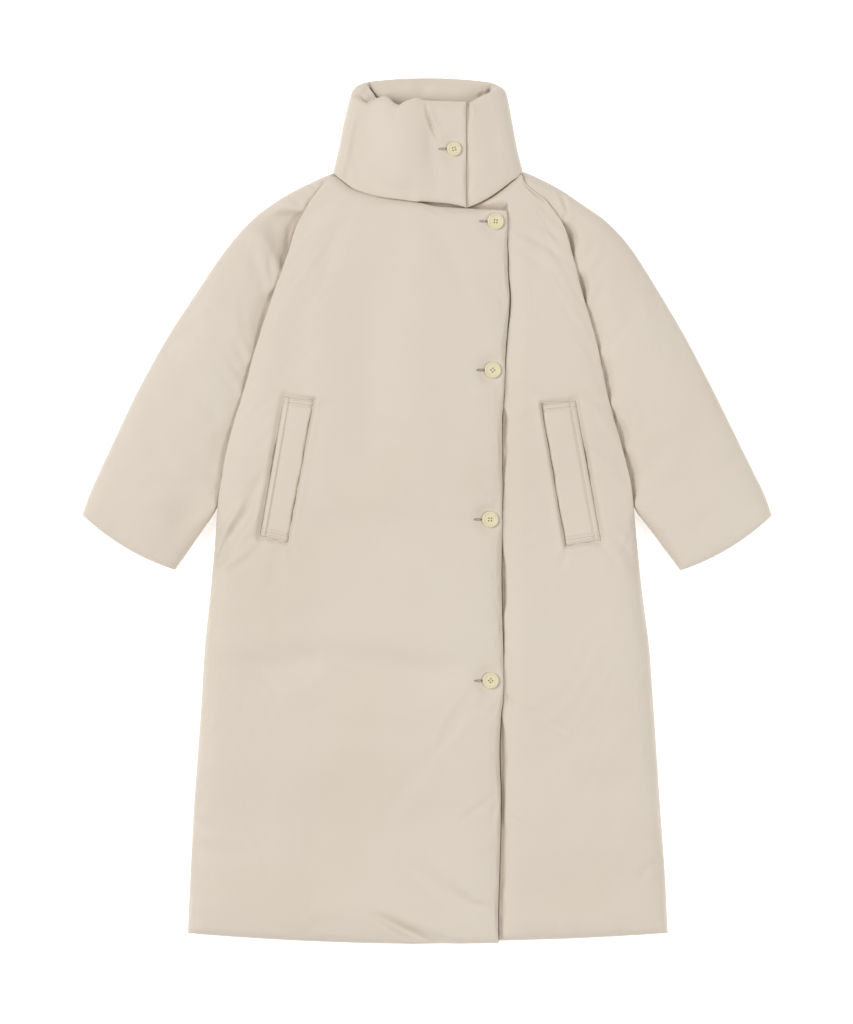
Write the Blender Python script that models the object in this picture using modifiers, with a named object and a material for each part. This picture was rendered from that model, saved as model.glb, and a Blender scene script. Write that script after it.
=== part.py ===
"""Long puffer coat, laid flat on its back with its front up.

The wearer's left is +X, the collar is at +Y and the front faces +Z. The origin is on the surface
that the coat lies on, under the middle of the coat. Every length is in metres.

The padded walls lie on each other. The back and the back halves of the sleeves rest on the
surface. The fronts and the front halves of the sleeves lie on them, from FRONT_BASE up. The right
front laps over the left front, from LAP_BASE up. At a seam two walls thin out and nearly touch.
"""
import math
from collections import namedtuple

import bmesh
import bpy

COAT = "long_puffer_coat"

# Walls, filled with down
BACK_WALL = 0.018
FRONT_WALL = 0.020
LAPPED_WALL = 0.012      # left front and collar end, where the right side lies on them
LAPPING_WALL = 0.017     # right front, where it lies on the left front
SLEEVE_WALL = 0.018
COLLAR_WALL = 0.016
WELT_WALL = 0.006
SEAM_GAP = 0.0003

FRONT_BASE = BACK_WALL + SEAM_GAP
LAP_BASE = FRONT_BASE + LAPPED_WALL + SEAM_GAP

# How a wall thins towards an edge: over what reach, and to what share of its thickness
Edge = namedtuple("Edge", "reach rim")
SEAM = Edge(0.045, 0.15)
FULL_SEAM = Edge(0.032, 0.30)
TURNED_EDGE = Edge(0.015, 0.50)
NECK_SEAM = Edge(0.030, 0.25)
HIDDEN_EDGE = Edge(0.001, 1.0)
WELT_EDGE = Edge(0.008, 0.45)

# Body
HEM_HEIGHT = -0.612
NECK_HEIGHT = 0.488
HEM_HALF_WIDTH = 0.348
HEM_BOW = 0.015          # the right front's hem hangs this much lower at its middle
SHORT_HEM_BOW = 0.012    # the left front's and the back's
NECK_FADE = 8            # how fast the rows of a panel straighten below the neckline
HEM_FADE = 4             # and above the hem
LAP = 0.150              # width of the left front that the right front covers
LAP_TAPER = 0.045        # over which its hidden edge thins
LAP_RIM = 0.003
LAP_CLEARANCE = 0.002

# A row for each section of the body, from the hem up: height, right side, left side
BODY_SIDES = (
    (-0.612, -0.347, 0.349),
    (-0.529, -0.343, 0.345),
    (-0.431, -0.338, 0.338),
    (-0.295, -0.328, 0.329),
    (-0.198, -0.322, 0.322),
    (-0.120, -0.314, 0.312),
    (-0.043, -0.307, 0.304),
    (0.007, -0.303, 0.299),
    (0.043, -0.297, 0.293),
    (0.094, -0.287, 0.281),
    (0.158, -0.267, 0.263),
    (0.240, -0.244, 0.246),
    (0.303, -0.225, 0.227),
    (0.367, -0.202, 0.210),
    (0.413, -0.187, 0.196),
    (0.447, -0.170, 0.174),
    (0.488, -0.138, 0.137),
)
RIGHT, LEFT = 1, 2       # columns of BODY_SIDES

# The right front's free edge, from the hem up: height, place across
FRONT_EDGE = (
    (-0.626, 0.104),
    (-0.347, 0.105),
    (-0.257, 0.110),
    (-0.096, 0.109),
    (0.172, 0.112),
    (0.318, 0.119),
    (0.434, 0.117),
)

# Necklines, from the right to the left: place across, height
RIGHT_FRONT_NECK = (
    (-0.138, 0.488),
    (-0.127, 0.480),
    (-0.108, 0.466),
    (-0.074, 0.455),
    (-0.033, 0.449),
    (-0.013, 0.446),
    (0.017, 0.440),
    (0.117, 0.434),
)
LEFT_FRONT_NECK = (
    (-0.033, 0.428),
    (0.020, 0.430),
    (0.060, 0.439),
    (0.089, 0.452),
    (0.115, 0.470),
    (0.137, 0.488),
)
BACK_NECK = (
    (-0.138, 0.488),
    (-0.070, 0.477),
    (0.000, 0.474),
    (0.070, 0.477),
    (0.137, 0.488),
)

# Heights of the rows of points up the body. Those of the armhole are the sleeve's rows too.
SKIRT_HEIGHTS = (-0.612, -0.605, -0.585, -0.535, -0.480, -0.425, -0.370, -0.315, -0.260, -0.205,
                 -0.150, -0.095, -0.043)
ARMHOLE_HEIGHTS = (0.007, 0.045, 0.100, 0.165, 0.240, 0.310, 0.375, 0.420, 0.455, 0.478)
BODY_HEIGHTS = SKIRT_HEIGHTS + ARMHOLE_HEIGHTS + (NECK_HEIGHT,)

# Places of the columns of points across a panel
BACK_SHARES = (0.0, 0.02, 0.06, 0.14, 0.26, 0.38, 0.5, 0.62, 0.74, 0.86, 0.94, 0.98, 1.0)
RIGHT_SHARES = (0.0, 0.05, 0.12, 0.24, 0.38, 0.54, 0.70, 0.85)
LEFT_SHARES = (0.0, 0.12, 0.30, 0.50, 0.70, 0.85, 0.94, 1.0)
LAPPING_INSETS = (LAP, LAP - LAP_TAPER, 0.080, 0.055, 0.030, 0.014, 0.005, 0.0)
LAPPED_INSETS = (LAP - LAP_CLEARANCE, LAP - LAP_TAPER, 0.088, 0.070, 0.052, 0.036, 0.020, 0.008)

# Outer edge of each sleeve, from the neck to the cuff: right place across and height, then left.
# The first rows face the armhole's, from the top down, and the last two are below the armpit.
SLEEVE_OUTER = (
    (-0.153, 0.482, 0.152, 0.486),
    (-0.191, 0.464, 0.190, 0.467),
    (-0.227, 0.442, 0.226, 0.443),
    (-0.260, 0.415, 0.262, 0.417),
    (-0.296, 0.372, 0.297, 0.378),
    (-0.338, 0.310, 0.340, 0.310),
    (-0.377, 0.250, 0.378, 0.245),
    (-0.419, 0.174, 0.420, 0.164),
    (-0.449, 0.111, 0.450, 0.103),
    (-0.470, 0.066, 0.472, 0.058),
    (-0.486, 0.031, 0.488, 0.026),
    (-0.500, -0.006, 0.500, -0.007),
)
SLEEVE_BELOW_ARMPIT = (
    (-0.329, -0.034, 0.328, -0.034),
    (-0.365, -0.086, 0.367, -0.087),
)
SLEEVE_SHARES = (0.0, 0.05, 0.15, 0.32, 0.5, 0.68, 0.85, 0.95, 1.0)
CUFF_INSETS = (0.020, 0.006)
CUFF_BOW = 0.008         # the cuff's middle is this much lower than its ends
CUFF_LEAN = 0.5          # and this share of that further out
ARMHOLE_GAP = 0.0004

# Collar, from its seam up: share of its height, right side, left side
COLLAR_SIDES = (
    (0.0, -0.135, 0.138),
    (0.3, -0.126, 0.131),
    (0.6, -0.117, 0.126),
    (0.85, -0.111, 0.119),
    (1.0, -0.106, 0.112),
)
COLLAR_LEVELS = (0.0, 0.08, 0.2, 0.4, 0.6, 0.8, 0.93, 1.0)
COLLAR_OVER_END = 0.057
COLLAR_UNDER_END = -0.030
COLLAR_SLIT = 0.0015     # half of the room between the walls that fold on each other
COLLAR_SEAM_GAP = 0.0006
COLLAR_BACK_HEIGHT = 0.627
COLLAR_BACK_BOW = 0.010
COLLAR_MIDDLE = FRONT_BASE - SEAM_GAP / 2    # level that its front and its back fold together at
COLLAR_TAPER = 0.040     # over which the under end thins
COLLAR_CLIMB = 0.010     # before the under end's edge, where the over end already lies higher
COLLAR_LAP_GAP = 0.0015
NOTCH_START = -0.013     # from here to its end the collar is free of the right front
NOTCH_GAP = 0.003
FOLD_STEP = 30           # degrees between the columns round each side fold
OVER_SPANS = 11          # spans between the columns of the over end, the back and the under end
BACK_SPANS = 10
UNDER_SPANS = 9

# Mouth of the collar in front: place across, height
OVER_MOUTH = (
    (-0.110, 0.604),
    (-0.085, 0.600),
    (-0.041, 0.588),
    (-0.020, 0.595),
    (0.058, 0.592),
)
UNDER_MOUTH = (
    (-0.033, 0.588),
    (0.058, 0.590),
    (0.078, 0.600),
    (0.112, 0.606),
)

# Largest soft folds of the fronts: where each starts and ends, half its width, and its depth
Fold = namedtuple("Fold", "x1 y1 x2 y2 width depth")
FOLDS = (
    Fold(0.060, -0.270, -0.060, -0.450, 0.040, 0.004),
    Fold(0.130, -0.285, 0.240, -0.345, 0.035, 0.004),
    Fold(-0.260, -0.215, 0.010, -0.205, 0.040, 0.004),
    Fold(0.130, 0.420, 0.205, 0.360, 0.030, 0.003),
    Fold(-0.050, -0.590, 0.035, -0.625, 0.030, 0.004),
)

# Pocket welts: right and left, each corner's place across and height
Welt = namedtuple("Welt", "outer_top inner_top outer_bottom inner_bottom")
WELTS = {
    "welt_right": Welt((-0.206, 0.165), (-0.164, 0.160), (-0.241, -0.037), (-0.202, -0.046)),
    "welt_left": Welt((0.214, 0.159), (0.166, 0.154), (0.251, -0.043), (0.201, -0.051)),
}
WELT_ROWS = (0.0, 0.03, 0.1, 0.36, 0.64, 0.9, 0.97, 1.0)
WELT_COLUMNS = (0.0, 0.15, 0.5, 0.85, 1.0)

# Buttons
FRONT_BUTTON_DIAMETER = 0.0235
COLLAR_BUTTON_DIAMETER = 0.0205
BUTTON_THICKNESS = 0.0042
BUTTON_RIM = 0.0028
BUTTON_DISH = 0.0011
BUTTON_ROUNDING = 0.0011
BUTTON_STEPS = 24
BUTTON_INSET = 0.018     # from the free edge
BUTTON_HEIGHTS = (0.418, 0.203, -0.013, -0.246)
COLLAR_BUTTON = (0.0392, 0.5227)
HOLE_DIAMETER = 0.0021
HOLE_SPACING = 0.0038
HOLE_STEPS = 8

# Finishes, and the angles in degrees up to which edges are shaded smooth
CLOTH_COLOUR = (0.73, 0.65, 0.56, 1.0)
CLOTH_ROUGHNESS = 0.75
CLOTH_SHEEN = 0.2
CLOTH_SMOOTHING = 50
BUTTON_COLOUR = (0.80, 0.72, 0.50, 1.0)
BUTTON_ROUGHNESS = 0.35
BUTTON_SMOOTHING = 40


def clear_scene():
    for thing in list(bpy.data.objects):
        bpy.data.objects.remove(thing, do_unlink=True)


def new_collection(name):
    collection = bpy.data.collections.new(name)
    bpy.context.scene.collection.children.link(collection)
    return collection


def mix(start, end, share):
    return start + (end - start) * share


def read_curve(rows, place, column=1):
    """Value of a column of a table at a place between its rows, on a smooth curve through them."""
    place = min(max(place, rows[0][0]), rows[-1][0])
    index = max(i for i in range(len(rows) - 1) if rows[i][0] <= place)
    start, end = rows[index], rows[index + 1]
    before, after = rows[max(index - 1, 0)], rows[min(index + 2, len(rows) - 1)]
    span = end[0] - start[0]
    slope_start = (end[column] - before[column]) / (end[0] - before[0])
    slope_end = (after[column] - start[column]) / (after[0] - start[0])
    t = (place - start[0]) / span
    return (start[column] * (1 + 2 * t) * (1 - t) ** 2
            + end[column] * t * t * (3 - 2 * t)
            + span * t * (1 - t) * (slope_start * (1 - t) - slope_end * t))


def side_x(height, side):
    return read_curve(BODY_SIDES, height, side)


def edge_x(height):
    return read_curve(FRONT_EDGE, height)


def lapped_wall(inset):
    """Thickness of the left front under the right front, this far in from the free edge."""
    return mix(LAP_RIM, LAPPED_WALL, min((LAP - inset) / LAP_TAPER, 1.0))


def fold_depth(x, y):
    """How deep the soft folds press the cloth down at a place."""
    depth = 0.0
    for fold in FOLDS:
        along_x, along_y = fold.x2 - fold.x1, fold.y2 - fold.y1
        length = math.hypot(along_x, along_y)
        along = ((x - fold.x1) * along_x + (y - fold.y1) * along_y) / length
        aside = ((x - fold.x1) * along_y - (y - fold.y1) * along_x) / length
        past_end = max(-along, 0.0, along - length)
        depth += fold.depth * math.exp(-(aside ** 2 + past_end ** 2) / fold.width ** 2)
    return depth


def swell(places, row, column, edges):
    """Share of the full wall at a point of a panel, which thins towards its four edges.

    The edges are the first column's, the last column's, the first row's and the last row's.
    """
    here = places[row][column]
    across = (places[row][0], places[row][-1], places[0][column], places[-1][column])
    share = 1.0
    for edge, opposite in zip(edges, across):
        inward = min(math.dist(here, opposite) / edge.reach, 1.0)
        share = min(share, mix(edge.rim, 1.0, math.sqrt(1 - (1 - inward) ** 2)))
    return share


def wall_solid(name, outer, inner, collection):
    """One closed solid between two matching grids of points, a wall's outer and inner face."""
    work = bmesh.new()
    faces = []
    for grid in (outer, inner):
        faces.append([[work.verts.new(point) for point in row] for row in grid])
    rows, columns = len(outer), len(outer[0])
    for grid in faces:
        for row in range(rows - 1):
            for column in range(columns - 1):
                work.faces.new((grid[row][column], grid[row][column + 1],
                                grid[row + 1][column + 1], grid[row + 1][column]))
    rim = [(0, column) for column in range(columns)]
    rim += [(row, columns - 1) for row in range(1, rows)]
    rim += [(rows - 1, column) for column in range(columns - 2, -1, -1)]
    rim += [(row, 0) for row in range(rows - 2, 0, -1)]
    for (row, column), (next_row, next_column) in zip(rim, rim[1:] + rim[:1]):
        work.faces.new((faces[0][row][column], faces[0][next_row][next_column],
                        faces[1][next_row][next_column], faces[1][row][column]))
    bmesh.ops.recalc_face_normals(work, faces=work.faces)
    mesh = bpy.data.meshes.new(name)
    work.to_mesh(mesh)
    work.free()
    mesh.shade_smooth()
    mesh.set_sharp_from_angle(angle=math.radians(CLOTH_SMOOTHING))
    solid = bpy.data.objects.new(name, mesh)
    collection.objects.link(solid)
    return solid


def set_material(thing, colour, roughness, sheen=0.0):
    """Give an object its own plain material, with no metal in it."""
    material = bpy.data.materials.new(f"{thing.name}_finish")
    material.use_nodes = True
    shader = material.node_tree.nodes["Principled BSDF"]
    shader.inputs["Base Color"].default_value = colour
    shader.inputs["Roughness"].default_value = roughness
    shader.inputs["Metallic"].default_value = 0.0
    shader.inputs["Sheen Weight"].default_value = sheen
    thing.data.materials.append(material)


def set_cloth(thing):
    set_material(thing, CLOTH_COLOUR, CLOTH_ROUGHNESS, CLOTH_SHEEN)


def body_places(columns, neck, hem_bow):
    """Rows of places up a body panel. Each column is its place across as a function of height."""
    places = []
    for height in BODY_HEIGHTS:
        up = (height - HEM_HEIGHT) / (NECK_HEIGHT - HEM_HEIGHT)
        row = []
        for column in columns:
            neck_drop = read_curve(neck, column(NECK_HEIGHT)) - NECK_HEIGHT
            hem_drop = hem_bow * (1 - (column(HEM_HEIGHT) / HEM_HALF_WIDTH) ** 2)
            y = height + neck_drop * up ** NECK_FADE - hem_drop * (1 - up) ** HEM_FADE
            row.append((column(height), y))
        places.append(row)
    return places


def make_back(collection):
    columns = [lambda y, share=share: mix(side_x(y, RIGHT), side_x(y, LEFT), share)
               for share in BACK_SHARES]
    places = body_places(columns, BACK_NECK, SHORT_HEM_BOW)
    edges = (SEAM, SEAM, TURNED_EDGE, NECK_SEAM)
    outer = []
    inner = []
    for row, row_places in enumerate(places):
        thickness = [BACK_WALL * swell(places, row, column, edges)
                     for column in range(len(columns))]
        outer.append([(x, y, BACK_WALL - wall) for (x, y), wall in zip(row_places, thickness)])
        inner.append([(x, y, BACK_WALL) for x, y in row_places])
    set_cloth(wall_solid("back", outer, inner, collection))


def make_front_right(collection):
    """The right front, whose lapping part is lifted by the left front under it."""
    columns = [lambda y, share=share: mix(side_x(y, RIGHT), edge_x(y) - LAP, share)
               for share in RIGHT_SHARES]
    columns += [lambda y, inset=inset: edge_x(y) - inset for inset in LAPPING_INSETS]
    bases = [FRONT_BASE] * len(RIGHT_SHARES)
    bases += [FRONT_BASE + lapped_wall(inset) + SEAM_GAP for inset in LAPPING_INSETS]
    walls = [FRONT_WALL] * len(RIGHT_SHARES) + [LAPPING_WALL] * len(LAPPING_INSETS)
    places = body_places(columns, RIGHT_FRONT_NECK, HEM_BOW)
    edges = (FULL_SEAM, TURNED_EDGE, TURNED_EDGE, NECK_SEAM)
    outer = []
    inner = []
    for row, row_places in enumerate(places):
        outer_row = []
        inner_row = []
        for column, (x, y) in enumerate(row_places):
            base = bases[column]
            wall = walls[column] * swell(places, row, column, edges)
            outer_row.append((x, y, base + wall - fold_depth(x, y) * wall / FRONT_WALL))
            inner_row.append((x, y, base))
        outer.append(outer_row)
        inner.append(inner_row)
    set_cloth(wall_solid("front_right", outer, inner, collection))


def make_front_left(collection):
    """The left front, pressed flat where the right front lies on it."""
    columns = [lambda y, inset=inset: edge_x(y) - inset for inset in LAPPED_INSETS]
    columns += [lambda y, share=share: mix(edge_x(y) + LAP_CLEARANCE, side_x(y, LEFT), share)
                for share in LEFT_SHARES]
    walls = [lapped_wall(inset) for inset in LAPPED_INSETS] + [LAPPED_WALL]
    walls += [FRONT_WALL] * (len(LEFT_SHARES) - 1)
    places = body_places(columns, LEFT_FRONT_NECK, SHORT_HEM_BOW)
    edges = (HIDDEN_EDGE, FULL_SEAM, TURNED_EDGE, NECK_SEAM)
    outer = []
    inner = []
    for row, row_places in enumerate(places):
        outer_row = []
        for column, (x, y) in enumerate(row_places):
            wall = walls[column] * swell(places, row, column, edges)
            fold = fold_depth(x, y) * wall / FRONT_WALL if walls[column] == FRONT_WALL else 0.0
            outer_row.append((x, y, FRONT_BASE + wall - fold))
        outer.append(outer_row)
        inner.append([(x, y, FRONT_BASE) for x, y in row_places])
    set_cloth(wall_solid("front_left", outer, inner, collection))


def sleeve_places(side):
    """Rows of places down a sleeve, each from its inner to its outer edge."""
    first = 0 if side == RIGHT else 2
    away = -1 if side == RIGHT else 1
    inner_edge = [(side_x(height, side) + away * ARMHOLE_GAP, height)
                  for height in reversed(ARMHOLE_HEIGHTS)]
    inner_edge += [row[first:first + 2] for row in SLEEVE_BELOW_ARMPIT]
    outer_edge = [row[first:first + 2] for row in SLEEVE_OUTER]
    rows = list(zip(inner_edge, outer_edge))
    length = math.dist(rows[-2][0], rows[-1][0])
    cuff_rows = []
    for inset in CUFF_INSETS:
        share = 1 - inset / length
        cuff_rows.append([tuple(mix(a, b, share) for a, b in zip(*ends))
                          for ends in zip(rows[-2], rows[-1])])
    rows[-1:-1] = cuff_rows
    places = []
    for index, (start, end) in enumerate(rows):
        down = max(0, index - (len(rows) - 1 - len(CUFF_INSETS) - 1)) / (len(CUFF_INSETS) + 1)
        row = []
        for share in SLEEVE_SHARES:
            bow = CUFF_BOW * down * (1 - (2 * share - 1) ** 2)
            x = mix(start[0], end[0], share) + away * bow * CUFF_LEAN
            row.append((x, mix(start[1], end[1], share) - bow))
        places.append(row)
    return places


def make_sleeve(side, name, collection):
    places = sleeve_places(side)
    edges = (SEAM, SEAM, NECK_SEAM, TURNED_EDGE)
    front_outer = []
    back_outer = []
    for row, row_places in enumerate(places):
        walls = [SLEEVE_WALL * swell(places, row, column, edges)
                 for column in range(len(SLEEVE_SHARES))]
        front_outer.append([(x, y, FRONT_BASE + wall) for (x, y), wall in zip(row_places, walls)])
        back_outer.append([(x, y, BACK_WALL - wall) for (x, y), wall in zip(row_places, walls)])
    front_inner = [[(x, y, FRONT_BASE) for x, y in row] for row in places]
    back_inner = [[(x, y, BACK_WALL) for x, y in row] for row in places]
    set_cloth(wall_solid(f"{name}_front", front_outer, front_inner, collection))
    set_cloth(wall_solid(f"{name}_back", back_outer, back_inner, collection))


def over_neck(x):
    """Lower edge of the collar in front, which leaves the neckline at the notch."""
    along = min(max((x - NOTCH_START) / (COLLAR_OVER_END - NOTCH_START), 0.0), 1.0)
    return read_curve(RIGHT_FRONT_NECK, x) + NOTCH_GAP * math.sin(math.pi * along)


def back_mouth(x):
    return COLLAR_BACK_HEIGHT - COLLAR_BACK_BOW * (x / COLLAR_SIDES[-1][LEFT]) ** 2


def collar_under_wall(x):
    """Thickness of the collar's under end, which thins towards its hidden edge."""
    if x < COLLAR_UNDER_END - COLLAR_CLIMB:
        return 0.0
    along = min(max((x - COLLAR_UNDER_END) / COLLAR_TAPER, 0.0), 1.0)
    return mix(LAP_RIM, LAPPED_WALL - COLLAR_SLIT - SEAM_GAP, along)


def collar_base(x):
    """Underside of the collar in front, which climbs onto its own under end."""
    under = collar_under_wall(x)
    return FRONT_BASE + COLLAR_SLIT + (under + COLLAR_LAP_GAP if under else 0.0)


# A stop on the collar's way round: which fold sides it lies between and how far along, the
# direction that its outer face looks in, its wall, its base, and its lower and upper edge
Stop = namedtuple("Stop", "start end share angle wall base low high")


def collar_stops():
    """Stops from the over end, round the right side, the back and the left, to the under end."""
    front, back = COLLAR_MIDDLE + COLLAR_SLIT, COLLAR_MIDDLE - COLLAR_SLIT
    low_right, low_left = COLLAR_SIDES[0][RIGHT], COLLAR_SIDES[0][LEFT]
    high_right, high_left = COLLAR_SIDES[-1][RIGHT], COLLAR_SIDES[-1][LEFT]
    stops = []
    for step in range(OVER_SPANS + 1):
        share = step / OVER_SPANS
        low_x = mix(COLLAR_OVER_END, low_right, share)
        high_x = mix(COLLAR_OVER_END, high_right, share)
        stops.append(Stop(COLLAR_OVER_END, "right", share, 90, COLLAR_WALL, collar_base(low_x),
                          over_neck(low_x), read_curve(OVER_MOUTH, high_x)))
    for angle in range(90 + FOLD_STEP, 270, FOLD_STEP):
        turned = (angle - 90) / 180
        high = mix(OVER_MOUTH[0][1], back_mouth(high_right), turned)
        stops.append(Stop("right", "right", 1.0, angle, mix(COLLAR_WALL, back, turned),
                          COLLAR_MIDDLE, NECK_HEIGHT, high))
    for step in range(BACK_SPANS + 1):
        share = step / BACK_SPANS
        low_x = mix(low_right, low_left, share)
        high_x = mix(high_right, high_left, share)
        stops.append(Stop("right", "left", share, 270, back, back,
                          read_curve(BACK_NECK, low_x), back_mouth(high_x)))
    for angle in range(270 + FOLD_STEP, 450, FOLD_STEP):
        turned = (angle - 270) / 180
        high = mix(back_mouth(high_left), UNDER_MOUTH[-1][1], turned)
        stops.append(Stop("left", "left", 1.0, angle,
                          mix(back, collar_under_wall(low_left), turned),
                          COLLAR_MIDDLE, NECK_HEIGHT, high))
    for step in range(UNDER_SPANS + 1):
        share = step / UNDER_SPANS
        low_x = mix(low_left, COLLAR_UNDER_END, share)
        high_x = mix(high_left, COLLAR_UNDER_END, share)
        stops.append(Stop("left", COLLAR_UNDER_END, share, 90, collar_under_wall(low_x), front,
                          read_curve(LEFT_FRONT_NECK, low_x), read_curve(UNDER_MOUTH, high_x)))
    return stops


def make_collar(collection):
    """One padded strip that folds flat round the neck and laps right over left."""
    stops = collar_stops()
    outer = []
    inner = []
    for level in COLLAR_LEVELS:
        outer_row = []
        inner_row = []
        for index, stop in enumerate(stops):
            height = stop.high - stop.low
            from_seam = min(level * height / NECK_SEAM.reach, 1.0)
            from_mouth = min((1 - level) * height / TURNED_EDGE.reach, 1.0)
            thick = min(mix(NECK_SEAM.rim, 1.0, math.sqrt(1 - (1 - from_seam) ** 2)),
                        mix(TURNED_EDGE.rim, 1.0, math.sqrt(1 - (1 - from_mouth) ** 2)))
            ends = {
                "right": read_curve(COLLAR_SIDES, level, RIGHT) + COLLAR_WALL * thick,
                "left": read_curve(COLLAR_SIDES, level, LEFT) - COLLAR_WALL * thick,
            }
            x = mix(ends.get(stop.start, stop.start), ends.get(stop.end, stop.end), stop.share)
            if index in (0, len(stops) - 1):
                thick *= TURNED_EDGE.rim
            look_x = round(math.cos(math.radians(stop.angle)), 6)
            look_z = round(math.sin(math.radians(stop.angle)), 6)
            folds = stop.start == stop.end
            base_x = x + COLLAR_SLIT * look_x if folds else x
            base_z = COLLAR_MIDDLE + COLLAR_SLIT * look_z if folds else stop.base
            y = mix(stop.low + COLLAR_SEAM_GAP, stop.high, level)
            wall = stop.wall * thick
            inner_row.append((base_x, y, base_z))
            outer_row.append((base_x + wall * look_x, y, base_z + wall * look_z))
        outer.append(outer_row)
        inner.append(inner_row)
    set_cloth(wall_solid("collar", outer, inner, collection))


def make_welt(name, welt, collection):
    """A slanted welt that lies on the flat of its front."""
    places = []
    for down in WELT_ROWS:
        start = [mix(a, b, down) for a, b in zip(welt.outer_top, welt.outer_bottom)]
        end = [mix(a, b, down) for a, b in zip(welt.inner_top, welt.inner_bottom)]
        places.append([tuple(mix(a, b, share) for a, b in zip(start, end))
                       for share in WELT_COLUMNS])
    edges = (WELT_EDGE,) * 4
    base = FRONT_BASE + FRONT_WALL + SEAM_GAP
    outer = []
    for row, row_places in enumerate(places):
        outer.append([(x, y, base + WELT_WALL * swell(places, row, column, edges))
                      for column, (x, y) in enumerate(row_places)])
    inner = [[(x, y, base) for x, y in row] for row in places]
    set_cloth(wall_solid(name, outer, inner, collection))


def button_profile(radius):
    """Half section of a button, from its middle on top, round its rim, to its middle below."""
    top = BUTTON_THICKNESS
    return (
        (0.0, top - BUTTON_DISH),
        (radius - BUTTON_RIM - BUTTON_ROUNDING, top - BUTTON_DISH),
        (radius - BUTTON_RIM, top),
        (radius - BUTTON_ROUNDING, top),
        (radius, top - BUTTON_ROUNDING),
        (radius, BUTTON_ROUNDING),
        (radius - BUTTON_ROUNDING, 0.0),
        (0.0, 0.0),
    )


def make_button_mesh(diameter, collection):
    """A turned button, cut by its four holes."""
    profile = button_profile(diameter / 2)
    mesh = bpy.data.meshes.new("button")
    mesh.from_pydata([(x, 0.0, z) for x, z in profile],
                     [(i, i + 1) for i in range(len(profile) - 1)], [])
    button = bpy.data.objects.new("turned_button", mesh)
    collection.objects.link(button)
    screw = button.modifiers.new("turn", "SCREW")
    screw.steps = BUTTON_STEPS
    screw.render_steps = BUTTON_STEPS
    screw.use_merge_vertices = True
    screw.merge_threshold = 0.00001
    for way_x, way_y in ((1, 1), (-1, 1), (-1, -1), (1, -1)):
        bpy.ops.mesh.primitive_cylinder_add(
            vertices=HOLE_STEPS, radius=HOLE_DIAMETER / 2, depth=3 * BUTTON_THICKNESS,
            location=(way_x * HOLE_SPACING / 2, way_y * HOLE_SPACING / 2,
                      BUTTON_THICKNESS / 2))
        cutter = bpy.context.object
        cutter.name = "button_hole_cutter"
        cutter.hide_render = True
        cutter.display_type = "WIRE"
        for owner in list(cutter.users_collection):
            owner.objects.unlink(cutter)
        collection.objects.link(cutter)
        cut = button.modifiers.new("hole", "BOOLEAN")
        cut.operation = "DIFFERENCE"
        cut.object = cutter
    bpy.context.view_layer.update()
    evaluated = button.evaluated_get(bpy.context.evaluated_depsgraph_get())
    finished = bpy.data.meshes.new_from_object(evaluated)
    bpy.data.objects.remove(button, do_unlink=True)
    finished.shade_smooth()
    finished.set_sharp_from_angle(angle=math.radians(BUTTON_SMOOTHING))
    return finished


def make_buttons(collection, cutters):
    """Five buttons: a small one on the collar and four down the right front's edge."""
    small, large = (make_button_mesh(diameter, cutters)
                    for diameter in (COLLAR_BUTTON_DIAMETER, FRONT_BUTTON_DIAMETER))
    x, y = COLLAR_BUTTON
    buttons = [("button_collar", small, (x, y, collar_base(x) + COLLAR_WALL + SEAM_GAP))]
    for index, height in enumerate(BUTTON_HEIGHTS):
        place = (edge_x(height) - BUTTON_INSET, height, LAP_BASE + LAPPING_WALL + SEAM_GAP)
        buttons.append((f"button_{index + 1}", large, place))
    for name, mesh, place in buttons:
        button = bpy.data.objects.new(name, mesh.copy())
        button.location = place
        collection.objects.link(button)
        set_material(button, BUTTON_COLOUR, BUTTON_ROUGHNESS)


def build():
    clear_scene()
    coat = new_collection(COAT)
    cutters = new_collection("cutters")
    make_back(coat)
    make_front_left(coat)
    make_front_right(coat)
    make_sleeve(RIGHT, "sleeve_right", coat)
    make_sleeve(LEFT, "sleeve_left", coat)
    make_collar(coat)
    for name, welt in WELTS.items():
        make_welt(name, welt, coat)
    make_buttons(coat, cutters)


build()
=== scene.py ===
"""Looks of the long puffer coat, laid flat on its back with its front up.

+X is the wearer's left, +Y runs from the hem to the collar, +Z comes up out of the front, and
every length is in metres unless a table says millimetres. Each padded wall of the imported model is
replaced by a fine one in the same place: its outline and its filling come from the same section
tables, and its puckers, creases and stitched edges are added here.
"""
import math
from collections import namedtuple

import bmesh
import bpy
import numpy as np
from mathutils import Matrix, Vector


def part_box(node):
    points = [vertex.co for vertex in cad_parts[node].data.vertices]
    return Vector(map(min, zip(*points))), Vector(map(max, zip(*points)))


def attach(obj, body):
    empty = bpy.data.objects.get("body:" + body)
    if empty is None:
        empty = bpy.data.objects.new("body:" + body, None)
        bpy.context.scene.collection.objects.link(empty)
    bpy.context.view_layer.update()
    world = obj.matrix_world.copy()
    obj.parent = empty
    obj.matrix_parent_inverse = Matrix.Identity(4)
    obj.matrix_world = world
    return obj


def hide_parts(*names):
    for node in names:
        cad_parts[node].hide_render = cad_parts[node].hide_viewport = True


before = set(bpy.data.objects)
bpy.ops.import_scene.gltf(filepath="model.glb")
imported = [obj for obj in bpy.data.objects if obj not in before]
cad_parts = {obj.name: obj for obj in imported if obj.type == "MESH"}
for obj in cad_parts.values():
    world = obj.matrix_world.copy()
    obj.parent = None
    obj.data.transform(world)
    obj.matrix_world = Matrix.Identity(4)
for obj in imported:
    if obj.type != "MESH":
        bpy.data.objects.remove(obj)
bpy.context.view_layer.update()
BODY = "root"
FRONT_BUTTONS = ("button_1", "button_2", "button_3", "button_4")

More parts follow.
